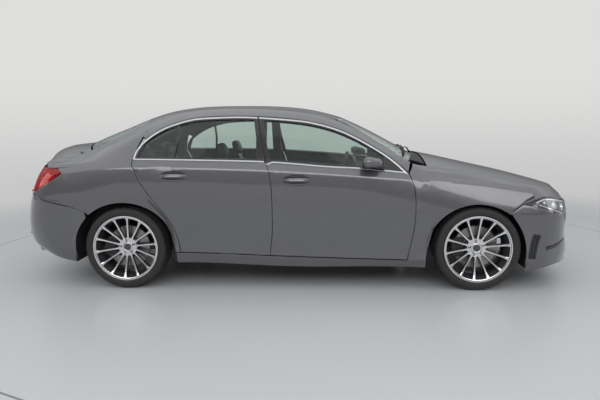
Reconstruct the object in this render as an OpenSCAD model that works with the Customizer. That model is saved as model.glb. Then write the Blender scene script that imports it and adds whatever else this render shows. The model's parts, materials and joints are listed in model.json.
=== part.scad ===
// A four-door saloon car with alloy wheels, a hollow cabin and opening panels.
// X runs forwards, Y to the car's left and Z up. The origin is on the ground, midway along and across.

/* [Overall] */
// Length from bumper to bumper
car_length = 4549; // [3900:1:5460]
// Width of the body without the door mirrors
car_width = 1796; // [1500:1:2160]
// Height of the roof above the ground
car_height = 1446; // [1260:1:1740]
// Distance between the front and rear axles
wheelbase = 2729; // [2300:1:3270]
// Distance from the front axle to the front bumper
front_overhang = 857; // [760:1:1020]

/* [Wheels] */
// Outer diameter of the tyres
tyre_diameter = 650; // [560:1:760]
// Section width of the tyres
tyre_width = 225; // [190:1:260]
// Outer diameter of the rim flange
rim_diameter = 516; // [440:1:530]
// Distance between the front tyre centres
track_front = 1556; // [1400:1:1800]
// Distance between the rear tyre centres
track_rear = 1550; // [1400:1:1800]
// Number of spokes in each wheel
spoke_count = 14; // [8:1:18]
// Diameter of the brake discs
disc_diameter = 330; // [270:1:350]
// Gap between the front tyre and the top of its arch
arch_gap_front = 24; // [20:1:60]
// Gap between the rear tyre and the top of its arch
arch_gap_rear = 41; // [20:1:70]

/* [Panels] */
// Gap between the opening panels and the body
shut_gap = 5; // [4:0.5:8]
// Clearance between fixed panels that meet
seam = 0.6; // [0.4:0.1:0.9]
// Depth of the doors from skin to trim
door_depth = 82; // [60:1:100]
// Thickness of the skin along the edges of the doors
door_flange = 8; // [6:1:12]
// Depth of the window frames
frame_depth = 26; // [18:1:34]
// Width of the window frames
frame_width = 24; // [18:1:34]
// Thickness of the window glass
glass_thick = 5; // [3:0.5:8]
// Thickness of the wings, bumpers and roof
skin = 12; // [8:1:16]
// Depth of the body sides and pillars
side_depth = 26; // [18:1:34]
// Thickness of the bonnet and boot lid with their inner frames
lid_thick = 18; // [12:1:26]

/* [Cabin] */
// Width of each front seat
seat_width = 500; // [420:1:560]
// Diameter of the steering wheel
steering_wheel_diameter = 368; // [330:1:400]

/* [Hidden] */
$fn = 48;

paint = "#5d6268";

// ---- Curves ----------------------------------------------------------------------------------

// One step of the forward sweep for a natural cubic spline
function sweep_step(p, i, v) = let(
    a = p[i][0] - p[i - 1][0],
    c = p[i + 1][0] - p[i][0],
    r = 6 * ((p[i + 1][1] - p[i][1]) / c - (p[i][1] - p[i - 1][1]) / a),
    q = 2 * (a + c) - a * v[0]
) [c / q, (r - a * v[1]) / q];
// Second derivatives of the natural cubic spline through p
function bends(p) = let(
    n = len(p),
    f = [for (i = 0, v = [0, 0]; i < n - 1; i = i + 1, v = i < n - 1 ? sweep_step(p, i, v) : v) v],
    b = [for (k = n - 1, m = 0; k >= 0; k = k - 1, m = k > 0 ? f[k][1] - f[k][0] * m : 0) m]
) [for (i = [0 : n - 1]) b[n - 1 - i]];
// A smooth curve through points of [place, value]
function curve(p) = [p, len(p) > 2 ? bends(p) : [0, 0]];
// A curve of straight stretches through points of [place, value]
function line(p) = [p, [for (q = p) 0]];
function stretch(p, x, i) = i >= len(p) - 2 || x < p[i + 1][0] ? i : stretch(p, x, i + 1);
// Value of a curve at a place, held level beyond its ends
function at(c, place) = let(
    p = c[0],
    m = c[1],
    x = min(max(place, p[0][0]), p[len(p) - 1][0]),
    i = stretch(p, x, 0),
    h = p[i + 1][0] - p[i][0],
    a = (p[i + 1][0] - x) / h,
    b = (x - p[i][0]) / h
) a * p[i][1] + b * p[i + 1][1] + ((a * a * a - a) * m[i] + (b * b * b - b) * m[i + 1]) * h * h / 6;
function mix(a, b, f) = a * (1 - f) + b * f;
function unit(v) = v / max(norm(v), 0.000001);

// ---- Places along the car --------------------------------------------------------------------
// The shape is drawn on a car of these reference sizes and stretched to the sizes above.
ref_width = 1796;
ref_height = 1446;
ref_tail = -2274.5;
ref_nose = 2274.5;
ref_rear_axle = -1311.5;
ref_front_axle = 1417.5;

front_axle_x = car_length / 2 - front_overhang;
rear_axle_x = front_axle_x - wheelbase;
hub_z = tyre_diameter / 2;
stretch_x = line([[ref_tail - 400, -car_length / 2 - 400], [ref_tail, -car_length / 2],
    [ref_rear_axle, rear_axle_x], [ref_front_axle, front_axle_x],
    [ref_nose, car_length / 2], [ref_nose + 400, car_length / 2 + 400]]);
shrink_x = line([for (p = stretch_x[0]) [p[1], p[0]]]);
ky = car_width / ref_width;
kz = car_height / ref_height;
// From reference places to real ones, and back
function real_x(x) = at(stretch_x, x);
function ref_x(x) = at(shrink_x, x);
function real(p) = [real_x(p[0]), p[1] * ky, p[2] * kz];

// ---- Body surface ----------------------------------------------------------------------------
// Eight feature lines run round each half of the body: bottom edge, sill top, lower crease, widest
// line, shoulder crease, belt, window top and deck edge. Each gives its half width and height along
// the girth u, which is X between the two corner starts and turns round the corners beyond them.
corner_front = 1820;
corner_rear = -1750;
corner_len = 1000;
half_width = [
    curve([[-1750, 828], [-917, 838], [0, 842], [1028, 838], [1820, 832]]),
    curve([[-1750, 858], [-911, 868], [0, 871], [950, 868], [1820, 862]]),
    curve([[-1750, 884], [-930, 882], [0, 878], [950, 876], [1820, 884]]),
    curve([[-1750, 894], [-930, 896], [0, 894], [950, 893], [1400, 898], [1820, 886]]),
    curve([[-1750, 868], [-1226, 884], [-300, 884], [587, 878], [950, 868], [1400, 850], [1820, 836]]),
    curve([[-1750, 800], [-1300, 836], [-900, 846], [0, 848], [600, 846], [950, 830], [1400, 806],
        [1820, 800]]),
    curve([[-1750, 690], [-1500, 690], [-1300, 676], [-1000, 642], [-700, 628], [-429, 625], [0, 629],
        [300, 640], [500, 664], [700, 706], [900, 758], [1060, 774], [1400, 772], [1820, 752]]),
    curve([[-1750, 628], [-1600, 606], [-1425, 572], [-1200, 548], [-900, 540], [-429, 540], [0, 544],
        [300, 556], [500, 588], [700, 632], [900, 682], [1060, 706], [1400, 708], [1820, 690]])
];
height_at = [
    curve([[-2750, 214], [-2450, 236], [-2100, 268], [-1900, 246], [-1750, 210], [-917, 202], [0, 176],
        [1028, 169], [1820, 148], [2055, 186], [2300, 180], [2500, 168], [2820, 166]]),
    curve([[-2750, 330], [-2250, 350], [-1750, 300], [-911, 288], [-174, 266], [878, 234], [1820, 235],
        [2300, 262], [2820, 236]]),
    curve([[-2750, 450], [-2250, 480], [-1750, 540], [-1200, 548], [-930, 537], [-354, 475], [0, 452],
        [500, 418], [947, 384], [1400, 388], [1820, 410], [2820, 430]]),
    curve([[-2750, 640], [-2250, 680], [-1750, 740], [-930, 720], [0, 690], [950, 640], [1400, 622],
        [1820, 600], [2820, 585]]),
    curve([[-2750, 850], [-2250, 884], [-1750, 917], [-1500, 948], [-1226, 960], [-700, 954], [-200, 934],
        [300, 902], [800, 866], [1388, 818], [1820, 752], [2250, 716], [2820, 690]]),
    curve([[-2750, 1000], [-2250, 988], [-1750, 985], [-1300, 1014], [-900, 1014], [-210, 996],
        [300, 960], [600, 936], [880, 905], [1100, 876], [1400, 848], [1820, 788], [2250, 746],
        [2820, 728]]),
    curve([[-2750, 1046], [-2250, 1008], [-1750, 1018], [-1600, 1060], [-1425, 1128], [-1300, 1192],
        [-1150, 1268], [-1000, 1320], [-776, 1366], [-429, 1378], [-100, 1366], [177, 1326], [400, 1262],
        [600, 1162], [780, 1056], [900, 986], [980, 944], [1100, 912], [1264, 892], [1400, 872],
        [1600, 840], [1820, 804], [2250, 760], [2820, 744]]),
    curve([[-2750, 1084], [-2250, 1018], [-2000, 1018], [-1750, 1042], [-1600, 1108], [-1425, 1190],
        [-1251, 1270], [-1100, 1330], [-888, 1382], [-709, 1402], [-444, 1408], [-180, 1400], [88, 1374],
        [262, 1338], [366, 1307], [500, 1240], [640, 1154], [800, 1052], [930, 972], [1067, 944],
        [1235, 920], [1432, 885], [1629, 849], [1820, 812], [1990, 790], [2250, 776], [2820, 760]])
];
nose_x = [2264, 2281, 2240, 2258, 2224, 2176, 2160, 2150];
tail_x = [-2150, -2258, -2274, -2240, -2170, -2124, -2130, -2150];
nose_round = [0.8, 0.8, 0.8, 0.8, 0.8, 0.8, 0.8, 0.8];
tail_round = [0.65, 0.65, 0.65, 0.65, 0.7, 0.8, 0.85, 0.9];
// How sharply each feature line is folded, from 0 to 1
fold = [0, 0.5, 0.25, 0, 0.75, 0.6, 0.1, 0];

// A point on feature line k
function on_line(k, u) = let(
    w = at(half_width[k], u),
    z = at(height_at[k], u)
) u > corner_front
    ? let(f = max(90 * (1 - (u - corner_front) / corner_len), 0), e = nose_round[k])
        [corner_front + (nose_x[k] - corner_front) * pow(cos(f), e), w * pow(sin(f), e), z]
    : u < corner_rear
    ? let(f = max(90 * (1 - (corner_rear - u) / corner_len), 0), e = tail_round[k])
        [corner_rear + (tail_x[k] - corner_rear) * pow(cos(f), e), w * pow(sin(f), e), z]
    : [u, w, z];
// The eight points across the body at girth u, with the slopes below and above each
function section(u) = let(
    p = [for (k = [0 : 7]) on_line(k, u)],
    h = [for (k = [0 : 6]) max(norm(p[k + 1] - p[k]), 0.001)],
    d = [for (k = [0 : 6]) (p[k + 1] - p[k]) / h[k]],
    m = [for (k = [0 : 7]) k == 0 ? d[0] : k == 7 ? d[6] : (d[k - 1] * h[k] + d[k] * h[k - 1]) / (h[k] + h[k - 1])]
) [p, h, [for (k = [0 : 7]) mix(m[k], d[max(k - 1, 0)], fold[k])], [for (k = [0 : 7]) mix(m[k], d[min(k, 6)], fold[k])]];
// The point at t lines up a section
function across(s, t) = let(
    k = min(max(floor(t), 0), 6),
    f = t - k,
    g = 1 - f,
    h = s[1][k]
) s[0][k] * (1 + 2 * f) * g * g + s[3][k] * (h * f * g * g)
    + s[0][k + 1] * (3 - 2 * f) * f * f - s[2][k + 1] * (h * f * f * g);
// How many lines up a section a height lies
function lines_up(s, z, lo = 0, hi = 7, n = 14) = n == 0 ? (lo + hi) / 2
    : let(t = (lo + hi) / 2) across(s, t)[2] < z ? lines_up(s, z, t, hi, n - 1) : lines_up(s, z, lo, t, n - 1);
function body_at(u, t) = across(section(u), t);
// The body surface at girth u and height z
function body_at_z(u, z) = let(s = section(u), t = lines_up(s, z)) across(s, t);

// ---- Shells ----------------------------------------------------------------------------------
// A grid is a list of columns of points. Seen from outside, columns run forwards and rows run up.
function clamp(i, n) = min(max(i, 0), n);
function outward(g, i, j) = let(n = len(g) - 1, m = len(g[0]) - 1)
    unit(cross(g[i][clamp(j + 1, m)] - g[i][clamp(j - 1, m)], g[clamp(i + 1, n)][j] - g[clamp(i - 1, n)][j]));
function depth_at(d, i, j) = is_function(d) ? d(i, j) : d;
// A grid moved inwards by d, its outer edges drawn in by tuck
function inset(g, d, tuck = 0) = let(n = len(g) - 1, m = len(g[0]) - 1) [for (i = [0 : n]) [for (j = [0 : m])
    g[i][j] - outward(g, i, j) * depth_at(d, i, j)
    + (i == 0 ? unit(g[1][j] - g[0][j]) * tuck : i == n ? unit(g[n - 1][j] - g[n][j]) * tuck : [0, 0, 0])
    + (j == 0 ? unit(g[i][1] - g[i][0]) * tuck : j == m ? unit(g[i][m - 1] - g[i][m]) * tuck : [0, 0, 0])]];
// A closed solid between grid a outside and grid b inside, where keep(i, j) says which cells are there
module solid_between(a, b, keep = function(i, j) true) {
    n = len(a) - 1;
    m = len(a[0]) - 1;
    total = (n + 1) * (m + 1);
    has = function(i, j) i >= 0 && j >= 0 && i < n && j < m && keep(i, j);
    at_ij = function(i, j) i * (m + 1) + j;
    wall = function(p, q) [[q, p, p + total], [q, p + total, q + total]];
    points = concat([for (c = a) for (p = c) p], [for (c = b) for (p = c) p]);
    faces = [for (i = [0 : n - 1]) for (j = [0 : m - 1]) if (has(i, j))
        let(
            p = at_ij(i, j),
            q = at_ij(i + 1, j),
            r = at_ij(i + 1, j + 1),
            s = at_ij(i, j + 1)
        )
        each concat(
            [[p, q, r], [p, r, s], [p + total, r + total, q + total], [p + total, s + total, r + total]],
            has(i, j - 1) ? [] : wall(p, q),
            has(i + 1, j) ? [] : wall(q, r),
            has(i, j + 1) ? [] : wall(r, s),
            has(i - 1, j) ? [] : wall(s, p)
        )];
    polyhedron(points, faces, convexity = 8);
}
module shell(g, d, tuck = 0, keep = function(i, j) true) {
    solid_between(g, inset(g, d, tuck), keep);
}
module on_side(left) {
    if (left) children();
    else mirror([0, 1, 0]) children();
}

// ---- Panel edges -----------------------------------------------------------------------------
// Edges down the side are given as girth for each height, and edges along it as height for each girth.
arch_wide_front = 27;
arch_wide_rear = 37;
arch_back_front = 11;
arch_back_rear = 4;
// The wheel arches are half ellipses round the axles, in reference places
arch_front = [ref_x(front_axle_x - arch_back_front), hub_z / kz,
    ref_x(front_axle_x) - ref_x(front_axle_x - hub_z - arch_gap_front - arch_wide_front),
    (hub_z + arch_gap_front) / kz];
arch_rear = [ref_x(rear_axle_x - arch_back_rear), hub_z / kz,
    ref_x(rear_axle_x + hub_z + arch_gap_rear + arch_wide_rear) - ref_x(rear_axle_x),
    (hub_z + arch_gap_rear) / kz];
function arch_x(a, f) = a[0] + a[2] * cos(f);
function arch_z(a, f) = a[1] + a[3] * sin(f);

// Distance from the rear arch to the rear edge of the rear door
arch_to_door = 58;
door_rear_low = arch_rear[0] + arch_rear[2] + arch_to_door - 20;
edge_front_door = curve([[160, 872], [233, 882], [388, 916], [557, 939], [704, 940], [830, 922], [903, 892], [960, 884]]);
edge_b = curve([[160, -190], [274, -173], [472, -151], [719, -151], [886, -164], [1001, -200], [1329, -268], [1400, -282]]);
edge_rear_door = curve([[200, door_rear_low + 4], [294, door_rear_low], [380, door_rear_low - 10],
    [459, door_rear_low - 33], [558, door_rear_low - 86], [646, door_rear_low - 150],
    [727, door_rear_low - 212], [830, door_rear_low - 284], [914, -1204], [981, -1230], [1020, -1236],
    [1078, -1225], [1135, -1190]]);
// Top of the door openings
door_top = curve([[-1190, 1135], [-1106, 1208], [-1011, 1263], [-904, 1301], [-777, 1332], [-602, 1343],
    [-429, 1346], [-283, 1341], [7, 1318], [177, 1292], [346, 1244], [472, 1190], [595, 1123],
    [715, 1049], [818, 970], [890, 911]]);

// A point of a row, which is a number of lines up or a height for each girth
function row_point(u, row) = is_num(row) ? body_at(u, row) : body_at_z(u, row(u));
// The point a share f of the way from edge e0 to edge e1 on a row
function place(e0, e1, f, row, z = 600, n = 2) = let(
    u = mix(at(e0, z), at(e1, z), f),
    p = row_point(u, row)
) n == 0 ? p : place(e0, e1, f, row, p[2], n - 1);
function panel_grid(e0, e1, fs, rows) = [for (f = fs) [for (r = rows) real(place(e0, e1, f, r))]];
// The same edge moved along the body by d
function moved(e, d) = [[for (p = e[0]) [p[0], p[1] + d]], e[1]];
// Part of a grid
function part(g, i0, i1, j0, j1) = [for (i = [i0 : i1]) [for (j = [j0 : j1]) g[i][j]]];
// A grid with its outer edges drawn in by c
function drawn_in(g, c) = inset(g, 0, c);

// ---- Doors -----------------------------------------------------------------------------------
waist_bar = 20;
door_rise = 8;
function belt_z(u) = body_at(u, 5)[2];
function top_z(u) = at(door_top, u) - shut_gap / 2;
function window_low(u) = belt_z(u) + min(waist_bar, (top_z(u) - belt_z(u)) * 0.3);
function window_high(u) = top_z(u) - min(frame_width, (top_z(u) - belt_z(u)) * 0.3);
function window_row(f) = function(u) mix(window_low(u), window_high(u), f);
door_rows = concat(
    [function(u) body_at(u, 1)[2] + door_rise, 1.2, 1.27, 1.6, 2, 2.35, 2.7, 3, 3.35, 3.7, 4, 4.3, 4.65, 4.85, 5],
    [window_row(0), window_row(0.33), window_row(0.67), window_row(1), function(u) top_z(u)]
);
waist_row = 14;
glass_low = 15;
glass_high = 18;
front_door_cols = [0, 0.033, 0.045, 0.12, 0.2, 0.29, 0.38, 0.47, 0.56, 0.65, 0.74, 0.83, 0.905, 0.918, 0.96, 1];
front_glass_cols = [1, 11];
rear_door_cols = [0, 0.036, 0.05, 0.14, 0.25, 0.3, 0.32, 0.42, 0.52, 0.62, 0.72, 0.81, 0.875, 0.89, 0.965, 1];
quarter_glass_cols = [1, 5];
rear_glass_cols = [6, 14];

function front_door_grid() = panel_grid(moved(edge_b, shut_gap / 2), moved(edge_front_door, -shut_gap / 2),
    front_door_cols, door_rows);
function rear_door_grid() = panel_grid(moved(edge_rear_door, shut_gap / 2), moved(edge_b, -shut_gap / 2),
    rear_door_cols, door_rows);
// Depth of a door at a grid point: thin at its edges, full depth between them, and a frame above
function door_depths(last) = function(i, j)
    j >= waist_row ? frame_depth : i > 1 && i < last - 2 && j > 1 && j < waist_row - 1 ? door_depth : door_flange;
function in_window(i, j, cols) = i >= cols[0] && i < cols[1] && j >= glass_low && j < glass_high;

hinge_behind = 62;
hinge_inboard = 24;
hinge_r = 6;
hinge_len = 34;
hinge_heights = [560, 700];
front_hinge = real(body_at_z(at(edge_front_door, 640) - hinge_behind, 640)) - [0, hinge_inboard, 0];
rear_hinge = real(body_at_z(at(edge_b, 640) - hinge_behind, 640)) - [0, hinge_inboard, 0];
// The half of each hinge on the door: a barrel and a leaf back to the door's front wall
module door_hinge_leaves(h) {
    for (z = hinge_heights) translate([h[0], h[1], z * kz]) {
        cylinder(r = hinge_r, h = hinge_len);
        translate([-70, -hinge_r, 0]) cube([70, 8, hinge_len]);
    }
}
// The half on the body: a barrel below and an arm inboard to the pillar
module body_hinge_leaves(h) {
    for (z = hinge_heights) translate([h[0], h[1], z * kz - hinge_len - 0.3]) {
        cylinder(r = hinge_r, h = hinge_len);
        translate([-4, -door_depth - 14, 0]) cube([8, door_depth + 14, hinge_len]);
    }
}
module front_door(left) {
    g = front_door_grid();
    last = len(front_door_cols) - 1;
    color(paint) on_side(left) {
        shell(g, door_depths(last), 2, function(i, j) !in_window(i, j, front_glass_cols));
        door_hinge_leaves(front_hinge);
    }
}
module rear_door(left) {
    g = rear_door_grid();
    last = len(rear_door_cols) - 1;
    color(paint) on_side(left) {
        shell(g, door_depths(last), 2,
            function(i, j) !in_window(i, j, rear_glass_cols) && !in_window(i, j, quarter_glass_cols));
        door_hinge_leaves(rear_hinge);
    }
}
glass_set = 9;
glass_fit = 0.4;
// A pane that fills the window whose grid columns are given
module pane(g, cols) {
    outer = part(inset(g, glass_set), cols[0], cols[1], glass_low, glass_high);
    inner = part(inset(g, glass_set + glass_thick), cols[0], cols[1], glass_low, glass_high);
    solid_between(drawn_in(outer, glass_fit), drawn_in(inner, glass_fit));
}
module front_door_glass(left) {
    color("#9fb3ae", 0.4) on_side(left) pane(front_door_grid(), front_glass_cols);
}
module rear_door_glass(left) {
    color("#9fb3ae", 0.4) on_side(left) {
        pane(rear_door_grid(), rear_glass_cols);
        pane(rear_door_grid(), quarter_glass_cols);
    }
}

// ---- Body sides and wings --------------------------------------------------------------------
// Girth where an edge crosses the row t lines up
function edge_at(e, t, z = 600, n = 3) = let(u = at(e, z)) n == 0 ? u : edge_at(e, t, body_at(u, t)[2], n - 1);
// A panel whose bottom edge is a list of [girth, height] and whose rows above are whole lines round
// the body. qs are shares of the way up to the first of those rows and ts are the rows themselves.
function arched_panel(bottom, e0, e1, qs, ts, shares) = let(n = len(bottom) - 1) [for (i = [0 : n])
    let(
        s = shares[i],
        b = bottom[i],
        tb = lines_up(section(b[0]), b[1]),
        t0 = lines_up(section(bottom[0][0]), bottom[0][1]),
        t1 = lines_up(section(bottom[n][0]), bottom[n][1]),
        u4 = mix(edge_at(e0, ts[0], 800), edge_at(e1, ts[0], 800), s)
    ) concat(
        [for (q = qs) let(
            a = edge_at(e0, mix(t0, ts[0], q)) - mix(bottom[0][0], edge_at(e0, ts[0], 800), q),
            c = edge_at(e1, mix(t1, ts[0], q)) - mix(bottom[n][0], edge_at(e1, ts[0], 800), q)
        ) real(body_at(mix(b[0], u4, q) + (1 - s) * a * (q > 0 ? 1 : 0) + s * c * (q > 0 ? 1 : 0), mix(tb, ts[0], q)))],
        [for (t = ts) real(body_at(mix(edge_at(e0, t, 900), edge_at(e1, t, 900), s), t))]
    )];

bumper_rear_top = curve([[-2820, 700], [-2500, 722], [-2379, 738], [-2112, 752], [-1992, 726], [-1834, 688],
    [-1705, 650], [-1591, 606], [-1560, 590]]);
edge_lamp = line([[700, -2000], [752, -2090], [758, -2100], [827, -1901], [872, -1822], [909, -1766], [935, -1790],
    [952, -1830], [958, -2200], [1060, -2220]]);
deck_rear_u = -2220;
rail_start = [-1190, -1200];
edge_quarter = curve(concat([for (p = edge_rear_door[0]) [p[0], p[1] - shut_gap / 2 - (p[0] > 1000 ? 3.4 : 1)]], [[1300, -1203]]));
function rail_z(u) = at(door_top, u) + shut_gap / 2 + 0.8;
quarter_cols = 18;
side_tuck = 7;
module body_side(left) {
    seam_cols = 5;
    foot = -4.8;
    meet = 133;
    arch_cols = quarter_cols - seam_cols - 1;
    foot_z = arch_z(arch_rear, foot);
    bottom = concat(
        [for (i = [0 : seam_cols - 1]) let(u = mix(-2084, -1640, i / (seam_cols - 1))) [u, at(bumper_rear_top, u) + 4]],
        [for (i = [0 : arch_cols]) let(f = mix(meet, foot, i / arch_cols)) [arch_x(arch_rear, f), arch_z(arch_rear, f)]],
        [[at(edge_quarter, foot_z), foot_z]]
    );
    ts = [4, 4.25, 4.55, 4.64, 5, 5.35, 5.7, 6.2, 7];
    qs = [0, 0.08, 0.16, 0.26, 0.36, 0.46, 0.56, 0.66, 0.76, 0.88];
    quarter = arched_panel(bottom, edge_lamp, edge_quarter, qs, ts,
        [for (i = [0 : quarter_cols]) i / quarter_cols]);
    rail_u = [-1150, -1100, -1040, -970, -890, -800, -690, -570, -430, -280, -120, 40, 190, 330, 450, 560, 660,
        750, 830, 888];
    rows = len(qs) + len(ts);
    first = len(qs) + 6;
    rail = [for (u = rail_u) let(s = section(u), t0 = lines_up(s, rail_z(u))) [for (j = [0 : rows - 1])
        j < first ? real(across(s, t0)) : real(body_at(u + (u > 860 ? 40 * (j - first) / (rows - 1 - first) : 0),
            mix(t0, 7, (j - first) / (rows - 1 - first))))]];
    g = concat(quarter, rail);
    inner = inset(g, side_depth, side_tuck);
    inner_low = inset(quarter, side_depth, side_tuck);
    tucked = [for (i = [0 : len(g) - 1]) [for (j = [0 : rows - 1])
        i <= quarter_cols && j < first ? inner_low[i][j] : inner[i][j]
            + (i >= quarter_cols && j <= first ? unit(g[i][rows - 1] - g[i][first]) * side_tuck : [0, 0, 0])
            + (i == quarter_cols && j <= first + 1 ? unit(g[i - 1][j] - g[i][j]) * side_tuck : [0, 0, 0])]];
    color(paint) on_side(left)
        solid_between(g, tucked, function(i, j) i < quarter_cols || j >= first);
}

edge_wing_rear = line(concat([for (z = [160 : 40 : 840]) [z, at(edge_front_door, z) + shut_gap / 2]],
    [[903, 896], [972, 933], [990, 935]]));
edge_wing_front = line([[560, 1630], [595, 1645], [633, 1686], [668, 1740], [700, 1773], [720, 1800], [727, 1834],
    [830, 1838]]);
module front_wing(left) {
    bottom = concat(
        [for (u = [888, 960, 1024]) [u, on_line(1, u)[2] + 0.2]],
        [for (i = [0 : 12]) let(f = mix(180, 50.6, i / 12)) [arch_x(arch_front, f), arch_z(arch_front, f)]]
    );
    n = len(bottom) - 1;
    g = arched_panel(bottom, edge_wing_rear, moved(edge_wing_front, -5.4), [0, 0.1, 0.2, 0.32, 0.44, 0.56, 0.7, 0.85],
        [4, 4.5, 5, 5.5, 6, 6.5, 7], [for (i = [0 : n]) i / n]);
    color(paint) on_side(left) shell(g, skin, 3);
}

// ---- Decks: roof, screens, bonnet and boot lid -------------------------------------------------
// These run across the car from left to right. A loft runs between end curves a and b, given for
// the left half as functions of the share s from the middle to the edge, with its sides on the
// curve edge(g) and its middle on the curve centre(g).
function loft_point(a, b, edge, centre, s, g) = let(
    r = abs(s),
    p = mix(a(r), b(r), g) + (edge(g) - mix(a(1), b(1), g)) * pow(r, 3)
        + (centre(g) - mix(a(0), b(0), g)) * (1 - r * r)
) [p[0], s < 0 ? -p[1] : p[1], p[2]];
function loft(a, b, edge, centre, gs, n) = [for (g = gs) [for (j = [0 : n])
    real(loft_point(a, b, edge, centre, 1 - 2 * j / n, g))]];
function shares(n) = [for (i = [0 : n]) i / n];
// A crowned curve across the car from the middle point c to the edge point e
function bow(c, e) = function(s) [c[0] + (e[0] - c[0]) * s * s, e[1] * s, c[1] + (e[2] - c[1]) * pow(s, 2.3)];
function deck_edge(u, gap) = on_line(7, u) - [0, gap, 0];
// Middle of the car from the bonnet's front edge back over the roof to the boot lid's lip
middle_z = curve([[-2150, 1088], [-2060, 1107], [-1950, 1119], [-1800, 1138]]);
roof_z = curve([[-1256, 1351], [-1158, 1388], [-1009, 1420], [-860, 1438], [-664, 1446], [-420, 1446], [-130, 1437],
    [118, 1409], [262, 1377], [384, 1341]]);
rear_window_z = curve([[-1800, 1138], [-1687, 1187], [-1563, 1235], [-1439, 1281], [-1316, 1330], [-1256, 1351]]);
windscreen_z = curve([[384, 1341], [497, 1291], [639, 1223], [780, 1148], [922, 1070], [1004, 1024]]);
bonnet_z = curve([[1062, 1026], [1179, 1004], [1371, 962], [1596, 912], [1821, 860], [1990, 815], [2090, 787], [2145, 768]]);
roof_middle = [-1256, 384];
roof_side = [-1180, 340];
rear_window_base = [-1800, -1640];
windscreen_base = [1004, 905];
bonnet_back = [1062, 1050];
bonnet_front_u = 2150;
module deck_shell(a, b, edge, centre, n_along, n_across, d, tuck) {
    shell(loft(a, b, edge, centre, shares(n_along), n_across), d, tuck);
}
function mid_point(c, x) = [x, 0, at(c, x)];
module roof_panel() {
    function edge(g) = deck_edge(mix(roof_side[0], roof_side[1], g), seam);
    function centre(g) = mid_point(roof_z, mix(roof_middle[0] + seam, roof_middle[1] - seam, g));
    a = bow([centre(0)[0], centre(0)[2]], edge(0));
    b = bow([centre(1)[0], centre(1)[2]], edge(1));
    color(paint) deck_shell(a, b, function(g) edge(g), function(g) centre(g), 16, 12, skin, 6);
}
module windscreen() {
    function edge(g) = deck_edge(mix(roof_side[1] + seam, windscreen_base[1], g), seam);
    function centre(g) = mid_point(windscreen_z, mix(roof_middle[1] + seam, windscreen_base[0], g));
    a = bow([centre(0)[0], centre(0)[2]], edge(0));
    b = bow([centre(1)[0], centre(1)[2]], edge(1));
    color("#9fb3ae", 0.4)
        deck_shell(a, b, function(g) edge(g), function(g) centre(g), 8, 12, glass_thick, 3);
}
module rear_window() {
    function edge(g) = deck_edge(mix(rear_window_base[1], roof_side[0] - seam, g), seam);
    function centre(g) = mid_point(rear_window_z, mix(rear_window_base[0], roof_middle[0] - seam, g));
    a = bow([centre(0)[0], centre(0)[2]], edge(0));
    b = bow([centre(1)[0], centre(1)[2]], edge(1));
    color("#9fb3ae", 0.4)
        deck_shell(a, b, function(g) edge(g), function(g) centre(g), 8, 12, glass_thick, 3);
}
function bonnet_edge(g) = deck_edge(mix(bonnet_back[1], bonnet_front_u, g), shut_gap);
function bonnet_centre(g) = mid_point(bonnet_z, mix(bonnet_back[0], nose_x[7] - shut_gap, g));
function bonnet_front(s) = on_line(7, 2820 + (bonnet_front_u - 2820) * s) - [shut_gap, shut_gap * s, 0];
module bonnet() {
    a = bow([bonnet_centre(0)[0], bonnet_centre(0)[2]], bonnet_edge(0));
    color(paint) {
        deck_shell(a, function(s) bonnet_front(s), function(g) bonnet_edge(g),
            function(g) bonnet_centre(g), 14, 14, lid_thick, 8);
        for (left = [false, true]) on_side(left) bonnet_arm();
    }
}
// The boot lid: a rear face that curves round the tail, and a deck forward from its lip
lid_side_u = -2384;
lid_top_side_u = -2232;
lid_lamp_top = 958;
module boot_lid() {
    n = 16;
    low = function(s) let(u = mix(-2750, lid_side_u, abs(s))) at(bumper_rear_top, u) + shut_gap;
    face = [for (q = [0, 0.2, 0.4, 0.6, 0.8, 1]) [for (j = [0 : n]) let(
        s = 1 - 2 * j / n,
        u = mix(-2750, lid_side_u, abs(s)),
        p = body_at_z(u, mix(low(s), lid_lamp_top - 6, q))
    ) real([p[0], s < 0 ? -p[1] : p[1], p[2]])]];
    upper = [for (q = [0, 0.5, 1]) [for (j = [0 : n]) let(
        s = 1 - 2 * j / n,
        u = mix(-2750, lid_top_side_u, abs(s)),
        t0 = lines_up(section(u), lid_lamp_top),
        p = body_at(u, mix(t0, 7, q))
    ) real([p[0], s < 0 ? -p[1] : p[1], p[2]])]];
    lip = function(s) on_line(7, mix(-2750, lid_top_side_u, s));
    edge = function(g) deck_edge(mix(lid_top_side_u, rear_window_base[1] - 16, g), shut_gap);
    centre = function(g) mid_point(middle_z, mix(-2150, rear_window_base[0] - 12, g));
    back = bow([centre(1)[0], centre(1)[2]], edge(1));
    deck = loft(lip, back, edge, centre, [0.1, 0.25, 0.4, 0.55, 0.7, 0.85, 1], n);
    color(paint) {
        shell(concat(face, upper, deck), lid_thick, 4);
        for (left = [false, true]) on_side(left) boot_arm();
    }
}
// The black panel at the foot of the windscreen, with both wipers lying on it
cowl_drop = 10;
cowl_share = 0.87;
module cowl() {
    g1 = mid_point(windscreen_z, windscreen_base[0]);
    back = bow([g1[0] + seam, g1[2]], deck_edge(windscreen_base[1], seam) + [seam, 0, 0]);
    front = bow([bonnet_back[0] - 6, at(bonnet_z, bonnet_back[0]) - cowl_drop],
        deck_edge(bonnet_back[1] - 6, 0) - [0, 0, cowl_drop]);
    a = function(s) back(s * cowl_share);
    b = function(s) front(s * cowl_share);
    color("#17181a") deck_shell(a, b, function(g) mix(a(1), b(1), g), function(g) mix(a(0), b(0), g), 2, 12, 5, 0);
}

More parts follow.
